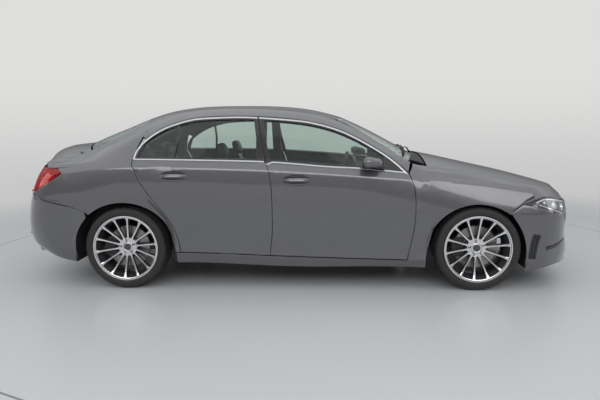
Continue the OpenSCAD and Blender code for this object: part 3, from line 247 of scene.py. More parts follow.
bpy.ops.object.select_all(action="DESELECT")
bpy.ops.mesh.primitive_plane_add(size=80, location=(0, 0, 0))
floor = bpy.context.object
floor.name = "Floor"
floor_material, tree, shader = new_material("Pale floor")
coord = node(tree, "ShaderNodeTexCoord")
clouds = node(tree, "ShaderNodeTexNoise", {"Vector": (coord, "Object"), "Scale": 0.35})
ramp = ramp_between(tree, (clouds, "Fac"), (0.53, 0.54, 0.553), (0.56, 0.57, 0.583))
# The edge of the turntable is a thin dark ring on the floor
from_middle = node(tree, "ShaderNodeVectorMath", {0: (coord, "Object"), 1: TURNTABLE_MIDDLE},
    operation="DISTANCE")
on_ring = node(tree, "ShaderNodeMath", {0: (from_middle, "Value"), 1: TURNTABLE_RADIUS, 2: TURNTABLE_EDGE},
    operation="COMPARE")
ring = node(tree, "ShaderNodeMixRGB", {"Fac": (on_ring, 0), "Color1": (ramp, "Color"),
    "Color2": (0.20, 0.20, 0.20, 1)})
link(tree, shader, {"Base Color": (ring, "Color"), "Roughness": 0.30})
# Far away the floor clears, so that the wall shows there, and in reflections it takes the wall's tone
far = node(tree, "ShaderNodeMapRange", {"Value": (from_middle, "Value"), "From Min": FLOOR_ENDS[0],
    "From Max": FLOOR_ENDS[1]}, interpolation_type="SMOOTHSTEP")
path, seen = seen_straight(tree)
seen_far = node(tree, "ShaderNodeMath", {0: (far, "Result"), 1: (seen, 0)}, operation="MULTIPLY")
mirrored_far = node(tree, "ShaderNodeMath", {0: (far, "Result"), 1: (path, "Is Glossy Ray")},
    operation="MULTIPLY")
reach = node(tree, "ShaderNodeMath", {0: (from_middle, "Value"), 1: TURNTABLE_MIDDLE[1] - CAMERA_PLACE[1]},
    operation="ADD")
slope = node(tree, "ShaderNodeMath", {0: -CAMERA_PLACE[2], 1: (reach, 0)}, operation="DIVIDE")
tone = node(tree, "ShaderNodeGroup", node_tree=wall)
link(tree, tone, {"Height": (slope, 0)})
glow = node(tree, "ShaderNodeEmission", {"Color": (tone, "Colour")})
in_gloss = node(tree, "ShaderNodeMixShader", {0: (mirrored_far, 0), 1: (shader, "BSDF"), 2: (glow, "Emission")})
clear = node(tree, "ShaderNodeBsdfTransparent")
blend = node(tree, "ShaderNodeMixShader", {0: (seen_far, 0), 1: (in_gloss, 0), 2: (clear, "BSDF")})
link(tree, tree.nodes["Material Output"], {"Surface": (blend, 0)})
floor.data.materials.append(floor_material)
settle(floor)
floor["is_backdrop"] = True

world = bpy.data.worlds.new("Studio")
bpy.context.scene.world = world
world.use_nodes = True
tree = world.node_tree
_, seen = seen_straight(tree)
coord = node(tree, "ShaderNodeTexCoord")
split = node(tree, "ShaderNodeSeparateXYZ", {0: (coord, "Generated")})
tone = node(tree, "ShaderNodeGroup", node_tree=wall)
link(tree, tone, {"Height": (split, "Z")})
# Reflections and light: darker along the walls, lighter overhead
room = ramp_between(tree, (split, "Z"), (0.15, 0.153, 0.158), (0.62, 0.63, 0.64), (0.02, 0.60), "EASE")
shade = node(tree, "ShaderNodeMixRGB", {"Fac": (seen, 0), "Color1": (room, "Color"),
    "Color2": (tone, "Colour")})
link(tree, tree.nodes["Background"], {"Color": (shade, "Color"), "Strength": 1.0})


def soft_box(name, place, aim, size, power):
    light = bpy.data.lights.new(name, "AREA")
    light.shape, light.size, light.size_y, light.energy = "RECTANGLE", size[0], size[1], power
    obj = bpy.data.objects.new(name, light)
    bpy.context.scene.collection.objects.link(obj)
    obj.location = place
    obj.rotation_euler = (Vector(aim) - Vector(place)).to_track_quat("-Z", "Y").to_euler()
    return obj


soft_box("Overhead soft box", (0, -0.4, 5.2), (0, 0, 0), (14.0, 8.0), 130)
soft_box("Near side soft box", (0.3, -7.0, 4.1), (0, 0, 0.6), (11.0, 2.8), 215)
soft_box("Front soft box", (7.0, -2.0, 2.8), (1.5, 0, 0.6), (3.4, 2.4), 50)
soft_box("Rear soft box", (-7.0, -1.5, 2.8), (-1.5, 0, 0.6), (3.4, 2.4), 46)
soft_box("Far side soft box", (0, 7.0, 3.4), (0, 0, 0.6), (8.0, 2.0), 40).visible_glossy = False


# ---- Effects shared by the finishes ------------------------------------------------------------
# Grain: fine bumps of moulded plastic, rubber or leather, with a slight change of shade
grain, gi, go = effect("Grain", {"Scale": 400.0, "Strength": 0.2, "Depth": 0.0004, "Colour": (0.5, 0.5, 0.5, 1),
    "Change": 0.1, "Roughness": 0.6}, {"Colour": "NodeSocketColor", "Roughness": "NodeSocketFloat",
    "Normal": "NodeSocketVector"})
coord = node(grain, "ShaderNodeTexCoord")
cells = node(grain, "ShaderNodeTexVoronoi", {"Vector": (coord, "Object"), "Scale": (gi, "Scale")})
patch = node(grain, "ShaderNodeTexNoise", {"Vector": (coord, "Object"), "Scale": 7.0, "Detail": 4.0})
bump = node(grain, "ShaderNodeBump", {"Height": (cells, "Distance"), "Strength": (gi, "Strength"),
    "Distance": (gi, "Depth")})
swing = node(grain, "ShaderNodeMath", {0: (patch, "Fac"), 1: 0.5}, operation="SUBTRACT")
amount = node(grain, "ShaderNodeMath", {0: (swing, 0), 1: (gi, "Change")}, operation="MULTIPLY")
rough = node(grain, "ShaderNodeMath", {0: (amount, 0), 1: (gi, "Roughness")}, operation="ADD")
lift = node(grain, "ShaderNodeMath", {0: (amount, 0), 1: 1.0}, operation="ADD")
tint = node(grain, "ShaderNodeVectorMath", operation="SCALE")
link(grain, tint, {0: (gi, "Colour"), "Scale": (lift, 0)})
link(grain, go, {"Colour": (tint, 0), "Roughness": (rough, 0), "Normal": (bump, "Normal")})

# Dust: a pale film that settles low down
dust, di, do = effect("Road dust", {"Colour": (0.5, 0.5, 0.5, 1), "Dust": (0.32, 0.30, 0.27, 1), "Amount": 0.3,
    "Top": 0.4}, {"Colour": "NodeSocketColor", "Mask": "NodeSocketFloat"})
coord = node(dust, "ShaderNodeTexCoord")
place = node(dust, "ShaderNodeSeparateXYZ", {0: (coord, "Object")})
fall = node(dust, "ShaderNodeMapRange", {"Value": (place, "Z"), "From Min": (di, "Top"), "From Max": 0.0})
specks = node(dust, "ShaderNodeTexNoise", {"Vector": (coord, "Object"), "Scale": 28.0, "Detail": 8.0,
    "Roughness": 0.7})
low_specks = node(dust, "ShaderNodeMath", {0: (fall, "Result"), 1: (specks, "Fac")}, operation="MULTIPLY")
mask = node(dust, "ShaderNodeMath", {0: (low_specks, 0), 1: (di, "Amount")}, operation="MULTIPLY")
mixed = node(dust, "ShaderNodeMixRGB", {"Fac": (mask, 0), "Color1": (di, "Colour"), "Color2": (di, "Dust")})
link(dust, do, {"Colour": (mixed, 0), "Mask": (mask, 0)})

# Flakes: metal flakes in paint, as small cells that each shine a little differently
FLAKE_ROUGHNESS = 0.31
flakes, fi, fo = effect("Metal flakes", {"Scale": 2600.0, "Colour": (0.2, 0.2, 0.22, 1), "Sparkle": 0.35},
    {"Colour": "NodeSocketColor", "Roughness": "NodeSocketFloat"})
coord = node(flakes, "ShaderNodeTexCoord")
cells = node(flakes, "ShaderNodeTexVoronoi", {"Vector": (coord, "Object"), "Scale": (fi, "Scale")})
grey = node(flakes, "ShaderNodeSeparateColor", {0: (cells, "Color")})
centred = node(flakes, "ShaderNodeMath", {0: (grey, 0), 1: 0.5}, operation="SUBTRACT")
shine = node(flakes, "ShaderNodeMath", {0: (centred, 0), 1: (fi, "Sparkle")}, operation="MULTIPLY")
lift = node(flakes, "ShaderNodeMath", {0: (shine, 0), 1: 1.0}, operation="ADD")
tint = node(flakes, "ShaderNodeVectorMath", operation="SCALE")
link(flakes, tint, {0: (fi, "Colour"), "Scale": (lift, 0)})
rough = node(flakes, "ShaderNodeMath", {0: (shine, 0), 1: FLAKE_ROUGHNESS}, operation="ADD")
link(flakes, fo, {"Colour": (tint, 0), "Roughness": (rough, 0)})


def placed(tree, group, **values):
    n = node(tree, "ShaderNodeGroup", node_tree=group)
    link(tree, n, values)
    return n


def grained(name, colour, roughness, grain_scale, strength, change, depth):
    """A material with the grain effect placed in it but not yet linked to its shader's colour."""
    material, tree, shader = new_material(name)
    g = placed(tree, grain, Scale=grain_scale, Strength=strength, Depth=depth, Colour=(*colour, 1),
        Change=change, Roughness=roughness)
    link(tree, shader, {"Roughness": (g, "Roughness"), "Normal": (g, "Normal")})
    return material, tree, shader, g


def plain(name, colour, roughness, metallic=0.0, grain_scale=500.0, strength=0.15, change=0.12, depth=0.0003,
        **more):
    """A finish with fine grain; more sets sockets of the shader, with _ for a space."""
    material, tree, shader, g = grained(name, colour, roughness, grain_scale, strength, change, depth)
    link(tree, shader, {"Base Color": (g, "Colour"), "Metallic": metallic})
    link(tree, shader, {key.replace("_", " "): value for key, value in more.items()})
    return material


def dusty(tree, shader, coloured, amount, top):
    """Puts road dust over the colour of a placed effect, up to the height top."""
    d = placed(tree, dust, Amount=amount, Top=top)
    link(tree, d, {"Colour": (coloured, "Colour")})
    link(tree, shader, {"Base Color": (d, "Colour")})


# ---- Finishes ------------------------------------------------------------------------------------
paint, tree, shader = new_material("Metallic grey paint")
g = placed(tree, flakes, Scale=2600.0, Colour=(0.150, 0.150, 0.160, 1), Sparkle=0.5)
dusty(tree, shader, g, 0.12, 0.35)
link(tree, shader, {"Roughness": (g, "Roughness"), "Metallic": 0.72, "Coat Weight": 1.0, "Coat Roughness": 0.025,
    "Coat IOR": 1.5})

tyre_rubber, tree, shader, g = grained("Tyre rubber", (0.017, 0.017, 0.018), 0.62, 900.0, 0.25, 0.25, 0.0004)
dusty(tree, shader, g, 0.05, 0.7)

black_gloss = plain("Black gloss trim", (0.008, 0.008, 0.009), 0.12, change=0.03, strength=0.0,
    Coat_Weight=0.6, Coat_Roughness=0.03)
black_plastic = plain("Black grained plastic", (0.018, 0.018, 0.019), 0.55, grain_scale=900.0, strength=0.35)
chrome = plain("Bright chrome", (0.78, 0.79, 0.80), 0.07, metallic=1.0, strength=0.0, change=0.03)
satin = plain("Satin bright trim", (0.62, 0.63, 0.64), 0.22, metallic=1.0, strength=0.02, change=0.05)
underbody = plain("Dark body structure", (0.028, 0.029, 0.031), 0.6, grain_scale=180.0, strength=0.25,
    depth=0.0008)
cast = plain("Cast iron and steel", (0.075, 0.073, 0.072), 0.55, metallic=0.75, grain_scale=260.0, strength=0.5)
exhaust_steel = plain("Exhaust steel", (0.33, 0.31, 0.29), 0.35, metallic=0.9, grain_scale=60.0, strength=0.1,
    change=0.3)
cabin_plastic = plain("Soft cabin plastic", (0.022, 0.022, 0.024), 0.62, grain_scale=1400.0, strength=0.4)
carpet = plain("Carpet", (0.02, 0.02, 0.022), 0.95, grain_scale=900.0, strength=0.9, depth=0.0015)
lining = plain("Roof lining", (0.30, 0.29, 0.27), 0.9, grain_scale=1500.0, strength=0.3)
leather = plain("Black seat leather", (0.022, 0.021, 0.021), 0.46, grain_scale=420.0, strength=0.55,
    depth=0.0006)
mirror_silver = plain("Mirror silver", (0.90, 0.91, 0.92), 0.015, metallic=1.0, grain_scale=20.0, strength=0.0,
    change=0.0)
plate_white = plain("Blank white plate", (0.72, 0.72, 0.70), 0.35, grain_scale=1500.0, strength=0.1,
    Coat_Weight=0.4)

machined = plain("Machined bright alloy", (0.80, 0.80, 0.81), 0.24, metallic=1.0, grain_scale=2200.0,
    strength=0.06)
dark_alloy = plain("Dark painted alloy", (0.075, 0.077, 0.082), 0.38, metallic=0.6, grain_scale=1600.0,
    strength=0.1, Coat_Weight=0.5)
disc_iron = plain("Turned brake iron", (0.32, 0.31, 0.30), 0.34, metallic=1.0, grain_scale=40.0, strength=0.05,
    change=0.3)
bolt_steel = plain("Zinc plated steel", (0.42, 0.42, 0.41), 0.35, metallic=1.0, grain_scale=700.0)

chrome_bright = plain("Lamp reflector", (0.86, 0.87, 0.88), 0.08, metallic=1.0, grain_scale=90.0, strength=0.0,
    change=0.04)
lamp_dark = plain("Lamp inner frame", (0.030, 0.031, 0.034), 0.22, grain_scale=700.0, strength=0.05,
    Coat_Weight=0.5)
light_guide = plain("White light guide", (0.88, 0.90, 0.92), 0.16, grain_scale=300.0, strength=0.0, change=0.02,
    Coat_Weight=0.7)
red_guide = plain("Red light guide", (0.72, 0.018, 0.018), 0.2, grain_scale=300.0, strength=0.0, change=0.05,
    Coat_Weight=0.8, Emission_Color=(0.8, 0.02, 0.02, 1), Emission_Strength=0.10)
red_body = plain("Red lamp body", (0.30, 0.008, 0.010), 0.2, grain_scale=260.0, strength=0.25, change=0.1,
    Coat_Weight=0.8)


def glass_finish(name, colour):
    """Clear or tinted glass with a faint cloud in its tint."""
    material, tree, shader = new_material(name)
    coord = node(tree, "ShaderNodeTexCoord")
    cloud = node(tree, "ShaderNodeTexNoise", {"Vector": (coord, "Object"), "Scale": 3.0, "Detail": 2.0})
    tint = ramp_between(tree, (cloud, "Fac"), [c * 0.98 for c in colour], colour)
    link(tree, shader, {"Base Color": (tint, "Color"), "Roughness": 0.0, "Metallic": 0.0, "IOR": 1.45,
        "Transmission Weight": 1.0})
    return material


window_tint = glass_finish("Green tinted glass", (0.70, 0.80, 0.76))
clear_cover = glass_finish("Clear lamp cover", (0.98, 0.99, 1.0))
red_cover = glass_finish("Red lamp cover", (0.83, 0.02, 0.025))


# ---- Shapes drawn from given points --------------------------------------------------------------
def primitive(kind, name, **settings):
    bpy.ops.object.select_all(action="DESELECT")
    getattr(bpy.ops.mesh, f"primitive_{kind}_add")(**settings)
    obj = bpy.context.object
    obj.name = obj.data.name = name
    return settle(obj)


def outward():
    """Turns all faces of the open mesh outwards and closes it."""
    bpy.ops.mesh.select_all(action="SELECT")
    bpy.ops.mesh.normals_make_consistent(inside=False)
    leave()


def lofted(name, rings, levels=0):
    """A body drawn from ring to ring: a disc is extruded once for each ring and its rim set in place."""
    obj = primitive("circle", name, vertices=len(rings[0]), radius=0.01, fill_type="NGON")
    edit(obj, "FACE")
    bpy.ops.mesh.select_all(action="SELECT")
    for k, ring in enumerate(rings):
        if k:
            bpy.ops.mesh.extrude_region_move()
        mesh = bmesh.from_edit_mesh(obj.data)
        cap = next(f for f in mesh.faces if f.select and len(f.verts) == len(ring))
        for vert, place in zip(cap.verts, ring):
            vert.co = place
        bmesh.update_edit_mesh(obj.data)
    outward()
    if levels:
        subdivided(obj, levels)
    return obj


def turned(name, profile, steps=96):
    """A piece turned round the Z axis from a closed profile of (radius, height) points."""
    obj = primitive("circle", name, vertices=len(profile), radius=0.01, fill_type="NOTHING")
    for vert, (r, z) in zip(obj.data.vertices, profile):
        vert.co = (r, 0, z)
    edit(obj)
    bpy.ops.mesh.select_all(action="SELECT")
    bpy.ops.mesh.spin(steps=steps, angle=math.tau, center=(0, 0, 0), axis=(0, 0, 1))
    bpy.ops.mesh.select_all(action="SELECT")
    bpy.ops.mesh.remove_doubles(threshold=0.00005)
    bpy.ops.mesh.dissolve_degenerate(threshold=0.00001)
    outward()
    return obj


def oval(centre, along, across, n=12, power=1.0):
    """Points round a closed oval; a power under 1 squares it."""
    def swung(v):
        return math.copysign(abs(v) ** power, v)
    return [Vector(centre) + Vector(along) * swung(math.cos(math.tau * k / n))
        + Vector(across) * swung(math.sin(math.tau * k / n)) for k in range(n)]


def plaque(name, centre, out, steps, power):
    """A flat rounded piece that faces along out, through steps of (distance, half width, half height)."""
    return lofted(name, [oval(Vector(centre) + Vector(out) * d, (0, w, 0), (0, 0, h), 32, power)
        for d, w, h in steps])


def band(name, found, width, proud, material, sink=0.002):
    """A moulding through found places, each a place and the way out of the surface there."""
    section = ((-1, -sink), (-1, proud * 0.55), (-0.72, proud), (0.72, proud), (1, proud * 0.55), (1, -sink))
    rings = []
    for k, (place, normal) in enumerate(found):
        along = (found[min(k + 1, len(found) - 1)][0] - found[max(k - 1, 0)][0]).normalized()
        across = along.cross(normal).normalized() * width / 2
        out = across.cross(along).normalized()
        out = out if out.dot(normal) > 0 else -out
        rings.append([place + across * a + out * b for a, b in section])
    return finish_faces(smooth(lofted(name, rings), 50), material)


def stood(place, way):
    """Stands a piece turned round the Z axis at place, with its axis along way."""
    return Matrix.Translation(place) @ way.to_track_quat("Z", "Y").to_matrix().to_4x4()


def off_axis(face):
    """How far a face of a turned piece is from the Z axis."""
    return math.hypot(face.center.x, face.center.y)


def silvered(face):
    """The flat back of a mirror."""
    return face.normal.x < -0.8 and len(face.vertices) > 8


def cut(obj, tool):
    """Cuts the tool's shape out of obj and removes the tool."""
    m = obj.modifiers.new("Cut", "BOOLEAN")
    m.object, m.operation, m.solver = tool, "DIFFERENCE", "EXACT"
    m.material_mode = "TRANSFER"
    apply_modifiers(obj)
    bpy.data.objects.remove(tool)
    return obj


def finish_faces(obj, *finishes):
    """Sets the finishes: the first all over, and each later (finish, test) where test passes."""
    obj.data.materials.clear()
    obj.data.materials.append(finishes[0])
    for number, (finish, test) in enumerate(finishes[1:], 1):
        obj.data.materials.append(finish)
        for face in obj.data.polygons:
            if test(face):
                face.material_index = number
    return obj


# ---- Body panels -----------------------------------------------------------------------------------
SOFT_FOLD, SHARP_FOLD = 5.5, 38


def merged(node_name, name):
    """A copy of a CAD node with its loose triangles merged into quads."""
    obj = bpy.data.objects.new(name, NODES[node_name].data.copy())
    bpy.context.scene.collection.objects.link(obj)
    edit(obj, "EDGE")
    bpy.ops.mesh.select_all(action="SELECT")
    bpy.ops.mesh.customdata_custom_splitnormals_clear()
    bpy.ops.mesh.remove_doubles(threshold=0.00002)
    bpy.ops.mesh.tris_convert_to_quads(face_threshold=math.radians(60), shape_threshold=math.radians(179))
    bpy.ops.mesh.select_all(action="DESELECT")
    leave()
    return obj


def rounded(obj, levels=2, edge=0.0011):
    """Keeps the sharp folds, firms up the soft level ones and rounds the rest."""
    def level_fold(e):
        way = (e.verts[1].co - e.verts[0].co).normalized()
        return abs(way.z) < 0.25 and abs(way.x) > 0.8 and e.calc_face_angle(0) > math.radians(SOFT_FOLD)
    edit(obj, "EDGE")
    pick(obj, level_fold, "edges")
    bpy.ops.transform.edge_crease(value=0.55)
    bpy.ops.mesh.select_all(action="DESELECT")
    bpy.ops.mesh.edges_select_sharp(sharpness=math.radians(SHARP_FOLD))
    bpy.ops.transform.edge_crease(value=1.0)
    leave()
    if levels:
        subdivided(obj, levels)
    if edge:
        bevelled(obj, edge, 2, 50)
    return smooth(obj, 40)


def refined(node_name, material, levels=2, slot="grey_paint", edge=0.0011):
    obj = rounded(merged(node_name, node_name + "_skin"), levels, edge=edge)
    return dressed(obj, material, body_of(node_name), slot, node_name)


def cast_on(target, start, way, near):
    """Where a ray from start along way meets the target, or its place nearest to near, and the way out."""
    found, place, normal, _ = target.ray_cast(Vector(start), Vector(way))
    if not found:
        _, place, normal, _ = target.closest_point_on_mesh(Vector(near))
    return place, normal if normal.dot(Vector(way)) < 0 else -normal


def on_panel(target, x, z, side):
    """The place on a side panel at x and z."""
    return cast_on(target, (x, side * 1.4, z), (0, -side, 0), (x, side * 0.9, z))


def ahead(target, y, z, way=1):
    """The place seen from straight ahead, or from behind with way -1."""
    return cast_on(target, (way * 3.4, y, z), (-way, 0, 0), (way * 2.3, y, z))


def above(target, x, y):
    """The place under a point of the plan."""
    return cast_on(target, (x, y, 2.2), (0, 0, -1), (x, y, 1.0))


def strip(name, target, line, side, width, proud, material):
    """A moulding laid along a line of (x, z) points on a side panel."""
    return band(name, [on_panel(target, x, z, side) for x, z in line], width, proud, material)


def eased(line, step=0.05):
    """The same line with points no further apart than step, on a smooth curve through them."""
    out = []
    for k in range(len(line) - 1):
        p0, p1, p2, p3 = (Vector(line[min(max(k + d, 0), len(line) - 1)]) for d in (-1, 0, 1, 2))
        n = max(int((p2 - p1).length / step), 1)
        for i in range(n):
            t = i / n
            out.append(tuple(0.5 * (2 * p1 + (p2 - p0) * t + (2 * p0 - 5 * p1 + 4 * p2 - p3) * t * t
                + (3 * p1 - p0 - 3 * p2 + p3) * t ** 3)))
    return out + [tuple(line[-1])]


def shifted(line, d):
    """A line of (x, z) points moved sideways by d."""
    out = []
    for k, (x, z) in enumerate(line):
        a, b = Vector(line[max(k - 1, 0)]), Vector(line[min(k + 1, len(line) - 1)])
        t = (b - a).normalized()
        out.append((x + t.y * d, z - t.x * d))
    return out


def height_on(line, x):
    """Height of a line of (x, z) points at x."""
    pts = sorted(line)
    for (x0, z0), (x1, z1) in zip(pts, pts[1:]):
        if x <= x1:
            return z0 + (z1 - z0) * (x - x0) / max(x1 - x0, 1e-6)
    return pts[-1][1]


# Top edge of the door openings and the window sill line, as in the CAD model
DOOR_TOP = [(-1.236, 1.020), (-1.225, 1.078), (-1.190, 1.135), (-1.106, 1.208), (-1.011, 1.263), (-0.904, 1.301),
    (-0.777, 1.332), (-0.602, 1.343), (-0.429, 1.346), (-0.283, 1.341), (0.007, 1.318), (0.177, 1.292),
    (0.346, 1.244), (0.472, 1.190), (0.595, 1.123), (0.715, 1.049), (0.818, 0.970), (0.884, 0.906)]
SILL_LINE = [(-1.226, 1.019), (-0.884, 1.014), (-0.210, 0.996), (0.262, 0.958), (0.526, 0.943), (0.724, 0.923),
    (0.878, 0.905)]
HANDLES = {"rear": (-0.9045, 0.893), "front": (0.040, 0.8585)}
GRIP_BOW = 0.017


def door_finish(obj, side):
    """Paint outside below the windows, black round the glass and a lined inner face."""
    def frame_part(face):
        c = face.center
        return c.z > height_on(SILL_LINE, c.x) - 0.006
    def inner_face(face):
        c = face.center
        return face.normal.y * side < -0.55 and c.z > 0.30
    return finish_faces(obj, paint, (cabin_plastic, inner_face), (black_gloss, frame_part))


panels = {}
for side, way in SIDES.items():
    for name in ("body_side", "front_wing"):
        panels[f"{name}_{side}"] = refined(f"{name}_{side}", paint)
    for row, (hx, hz) in HANDLES.items():
        node_name = f"{row}_door_{side}"
        door = rounded(merged(node_name, node_name + "_skin"))
        place, normal = on_panel(door, hx, hz, way)
        bowl = primitive("uv_sphere", "Handle bowl", segments=40, ring_count=20, radius=1)
        bowl.data.transform(Matrix.Translation(place + normal * 0.012)
            @ Matrix.Diagonal((0.112, 0.036, 0.047, 1)))
        finish_faces(bowl, paint)
        door.data.materials.append(paint)
        cut(door, bowl)
        smooth(door, 40)
        door_finish(door, way)
        panels[node_name] = dressed(door, None, node_name, "grey_paint", node_name)
        # Grip: a flat-backed bar that bows out of the bowl and runs into the door at both ends
        rings = []
        for k in range(13):
            f = -1 + k / 6
            bow = (1 - f ** 4) * GRIP_BOW - 0.006
            rings.append(oval(place + Vector((f * 0.106, 0, 0.001 * (1 - f * f))) + normal * bow,
                normal * (0.004 + 0.005 * (1 - f * f)), (0, 0, 0.007 + 0.010 * (1 - f * f) ** 0.5), 14, 0.8))
        grip = lofted(f"door_handle_{row}_{side}", rings, 1)
        dressed(smooth(grip, 50), paint, node_name, "grey_paint")
        # Bright line along the grip
        rings = []
        for k in range(11):
            f = k / 5 - 1
            bow = (1 - f ** 4) * GRIP_BOW + 0.0028 - 0.001 * abs(f)
            rings.append(oval(place + Vector((f * 0.082, 0, 0.001)) + normal * bow, normal * 0.0022,
                (0, 0, 0.0022), 8))
        bead = lofted(f"handle_bead_{row}_{side}", rings)
        dressed(smooth(bead, 50), chrome, node_name, "grey_paint")

for name in ("roof_panel", "bonnet", "boot_lid", "front_bumper", "rear_bumper", "side_skirts"):
    panels[name] = refined(name, paint)
panels["cowl"] = refined("cowl", black_plastic, slot="black_trim")

for name in ("windscreen", "rear_window", "front_door_glass_right", "front_door_glass_left",
        "rear_door_glass_right", "rear_door_glass_left"):
    panels[name] = refined(name, window_tint, slot="window_glass", edge=0)

# Bright mouldings round the side windows, cut at the gap between the doors
for side, way in SIDES.items():
    upper, lower = shifted(eased(DOOR_TOP), 0.0105), eased(SILL_LINE)
    for row, low, high, gap, sill_low, sill_high in (("rear", -1.30, -0.276, -0.274, -1.222, -0.211),
            ("front", -0.258, 0.90, -0.262, -0.199, 0.872)):
        node_name = f"{row}_door_{side}"
        line = [p for p in upper if low < p[0] < high]
        line.insert(len(line) if row == "rear" else 0, (gap, height_on(upper, gap)))
        sill = [(sill_low, height_on(lower, sill_low)), *[p for p in lower if sill_low < p[0] < sill_high],
            (sill_high, height_on(lower, sill_high))]
        for name, path_on_door, width, proud in (("window", line, 0.015, 0.004), ("sill", sill, 0.013, 0.005)):
            trim = strip(f"{name}_moulding_{row}_{side}", panels[node_name], path_on_door, way, width, proud,
                satin)
            dressed(trim, None, node_name, "grey_paint")


# ---- Wheels -----------------------------------------------------------------------------------------
SPOKES = 14
WHEEL_PLACES = {"front": (1.4175, 0.778, 0.325), "rear": (-1.3115, 0.775, 0.325)}

BOLTS, BOLT_CIRCLE, DOT_CIRCLE = 5, 0.0560, 0.0640
TREAD_STEPS = 240

# Rim, seen in section from the back flange through the well to the front lip
rim = turned("Rim", [(0.2330, -0.1085), (0.2575, -0.1085), (0.2590, -0.1040), (0.2560, -0.1010), (0.2410, -0.1000),
    (0.2390, -0.0700), (0.2240, -0.0450), (0.2230, 0.0300), (0.2330, 0.0600), (0.2390, 0.0750), (0.2410, 0.1000),
    (0.2560, 0.1010), (0.2590, 0.1040), (0.2590, 0.1070), (0.2570, 0.1090), (0.2480, 0.1080), (0.2450, 0.1020),
    (0.2400, 0.1000), (0.2340, 0.0900), (0.2320, 0.0700), (0.2260, 0.0560), (0.2160, 0.0300), (0.2170, -0.0450),
    (0.2310, -0.0720)], 112)
smooth(rim, 30)
finish_faces(rim, dark_alloy, (machined, lambda f: off_axis(f) > 0.2395 and f.center.z > 0.09))

# One spoke: a slim blade, its front edge machined, that sweeps out to the rim
rings = []
for r, back, front, half in ((0.050, 0.030, 0.0575, 0.0125), (0.075, 0.033, 0.0585, 0.0080),
        (0.100, 0.037, 0.0615, 0.0062), (0.130, 0.042, 0.0665, 0.0058), (0.160, 0.047, 0.0730, 0.0060),
        (0.190, 0.052, 0.0810, 0.0064), (0.215, 0.056, 0.0890, 0.0078), (0.231, 0.060, 0.0950, 0.0110),
        (0.2395, 0.066, 0.0990, 0.0150)):
    w = half * 0.86
    rings.append([(r, -half - 0.0035, back), (r, half + 0.0035, back), (r, half, front - 0.0015), (r, w, front),
        (r, -w, front), (r, -half, front - 0.0015)])
spoke = lofted("Spoke", rings)
edit(spoke, "EDGE")
pick(spoke, lambda e: e.calc_face_angle(0) > math.radians(28), "edges")
bpy.ops.transform.edge_crease(value=0.75)
leave()
subdivided(spoke, 1)
smooth(spoke, 35)
finish_faces(spoke, dark_alloy, (machined, lambda f: f.normal.z > 0.80))
blades = [own_copy(spoke, f"Spoke {k}", Matrix.Rotation(math.tau * k / SPOKES, 4, "Z")) for k in range(SPOKES)]
bpy.data.objects.remove(spoke)

# Hub with five bolt pockets, its cap, the bolts and five small dots between them
hub = turned("Hub", [(0.0, 0.000), (0.074, 0.000), (0.076, 0.020), (0.0755, 0.040), (0.0735, 0.0555),
    (0.071, 0.0580), (0.046, 0.0590), (0.0415, 0.0575), (0.0370, 0.0520), (0.0, 0.0520)], 80)
finish_faces(hub, machined)


def round_hub(number, circle, z):
    """Place number of five round the hub."""
    a = math.tau * (number + 0.25) / BOLTS
    return circle * math.cos(a), circle * math.sin(a), z


for k in range(BOLTS):
    pocket = primitive("cylinder", "Pocket", vertices=32, radius=0.0125, depth=0.05,
        location=round_hub(k, BOLT_CIRCLE, 0.060))
    cut(hub, finish_faces(pocket, black_gloss))
    dot = primitive("cylinder", "Dot", vertices=20, radius=0.0045, depth=0.012,
        location=round_hub(k + 0.5, DOT_CIRCLE, 0.0585))
    cut(hub, finish_faces(dot, black_gloss))
smooth(bevelled(hub, 0.0006, 2, 40), 30)
parts = [rim, *blades, hub]
for k in range(BOLTS):
    bolt = turned("Bolt", [(0, 0.036), (0.0095, 0.036), (0.0095, 0.0400), (0.0072, 0.0420), (0.0072, 0.0500),
        (0.0060, 0.0515), (0.0, 0.0515)], 12)
    bolt.data.transform(Matrix.Translation(round_hub(k, BOLT_CIRCLE, 0)))
    parts.append(finish_faces(smooth(bolt, 30), bolt_steel))
cap = turned("Cap", [(0, 0.050), (0.0352, 0.050), (0.0352, 0.0560), (0.0335, 0.0590), (0.0300, 0.0600),
    (0.0285, 0.0592), (0.0250, 0.0600), (0.0140, 0.0618), (0.0, 0.0625)], 64)
parts.append(finish_faces(smooth(cap, 25), machined, (dark_alloy, lambda f: off_axis(f) < 0.0285)))
disc = turned("Brake disc", [(0.0, -0.012), (0.165, -0.012), (0.1655, -0.0045), (0.158, -0.004), (0.158, 0.004),
    (0.1655, 0.0045), (0.165, 0.012), (0.092, 0.012), (0.090, 0.020), (0.084, 0.024), (0.0, 0.024)], 96)
parts.append(finish_faces(smooth(disc, 25), disc_iron, (cast, lambda f: off_axis(f) < 0.091)))
stub = turned("Stub", [(0.0, -0.080), (0.018, -0.080), (0.020, -0.077), (0.020, 0.0), (0.0, 0.0)], 32)
parts.append(finish_faces(smooth(stub, 30), cast))
valve = turned("Valve", [(0, 0), (0.0040, 0), (0.0042, 0.012), (0.0030, 0.014), (0.0030, 0.020),
    (0.0, 0.020)], 16)
valve.data.transform(Matrix.Translation((0.236, 0, 0.086)) @ Matrix.Rotation(math.radians(-60), 4, "Y"))
parts.append(finish_faces(smooth(valve, 30), black_plastic))
wheel = joined("Wheel", parts)

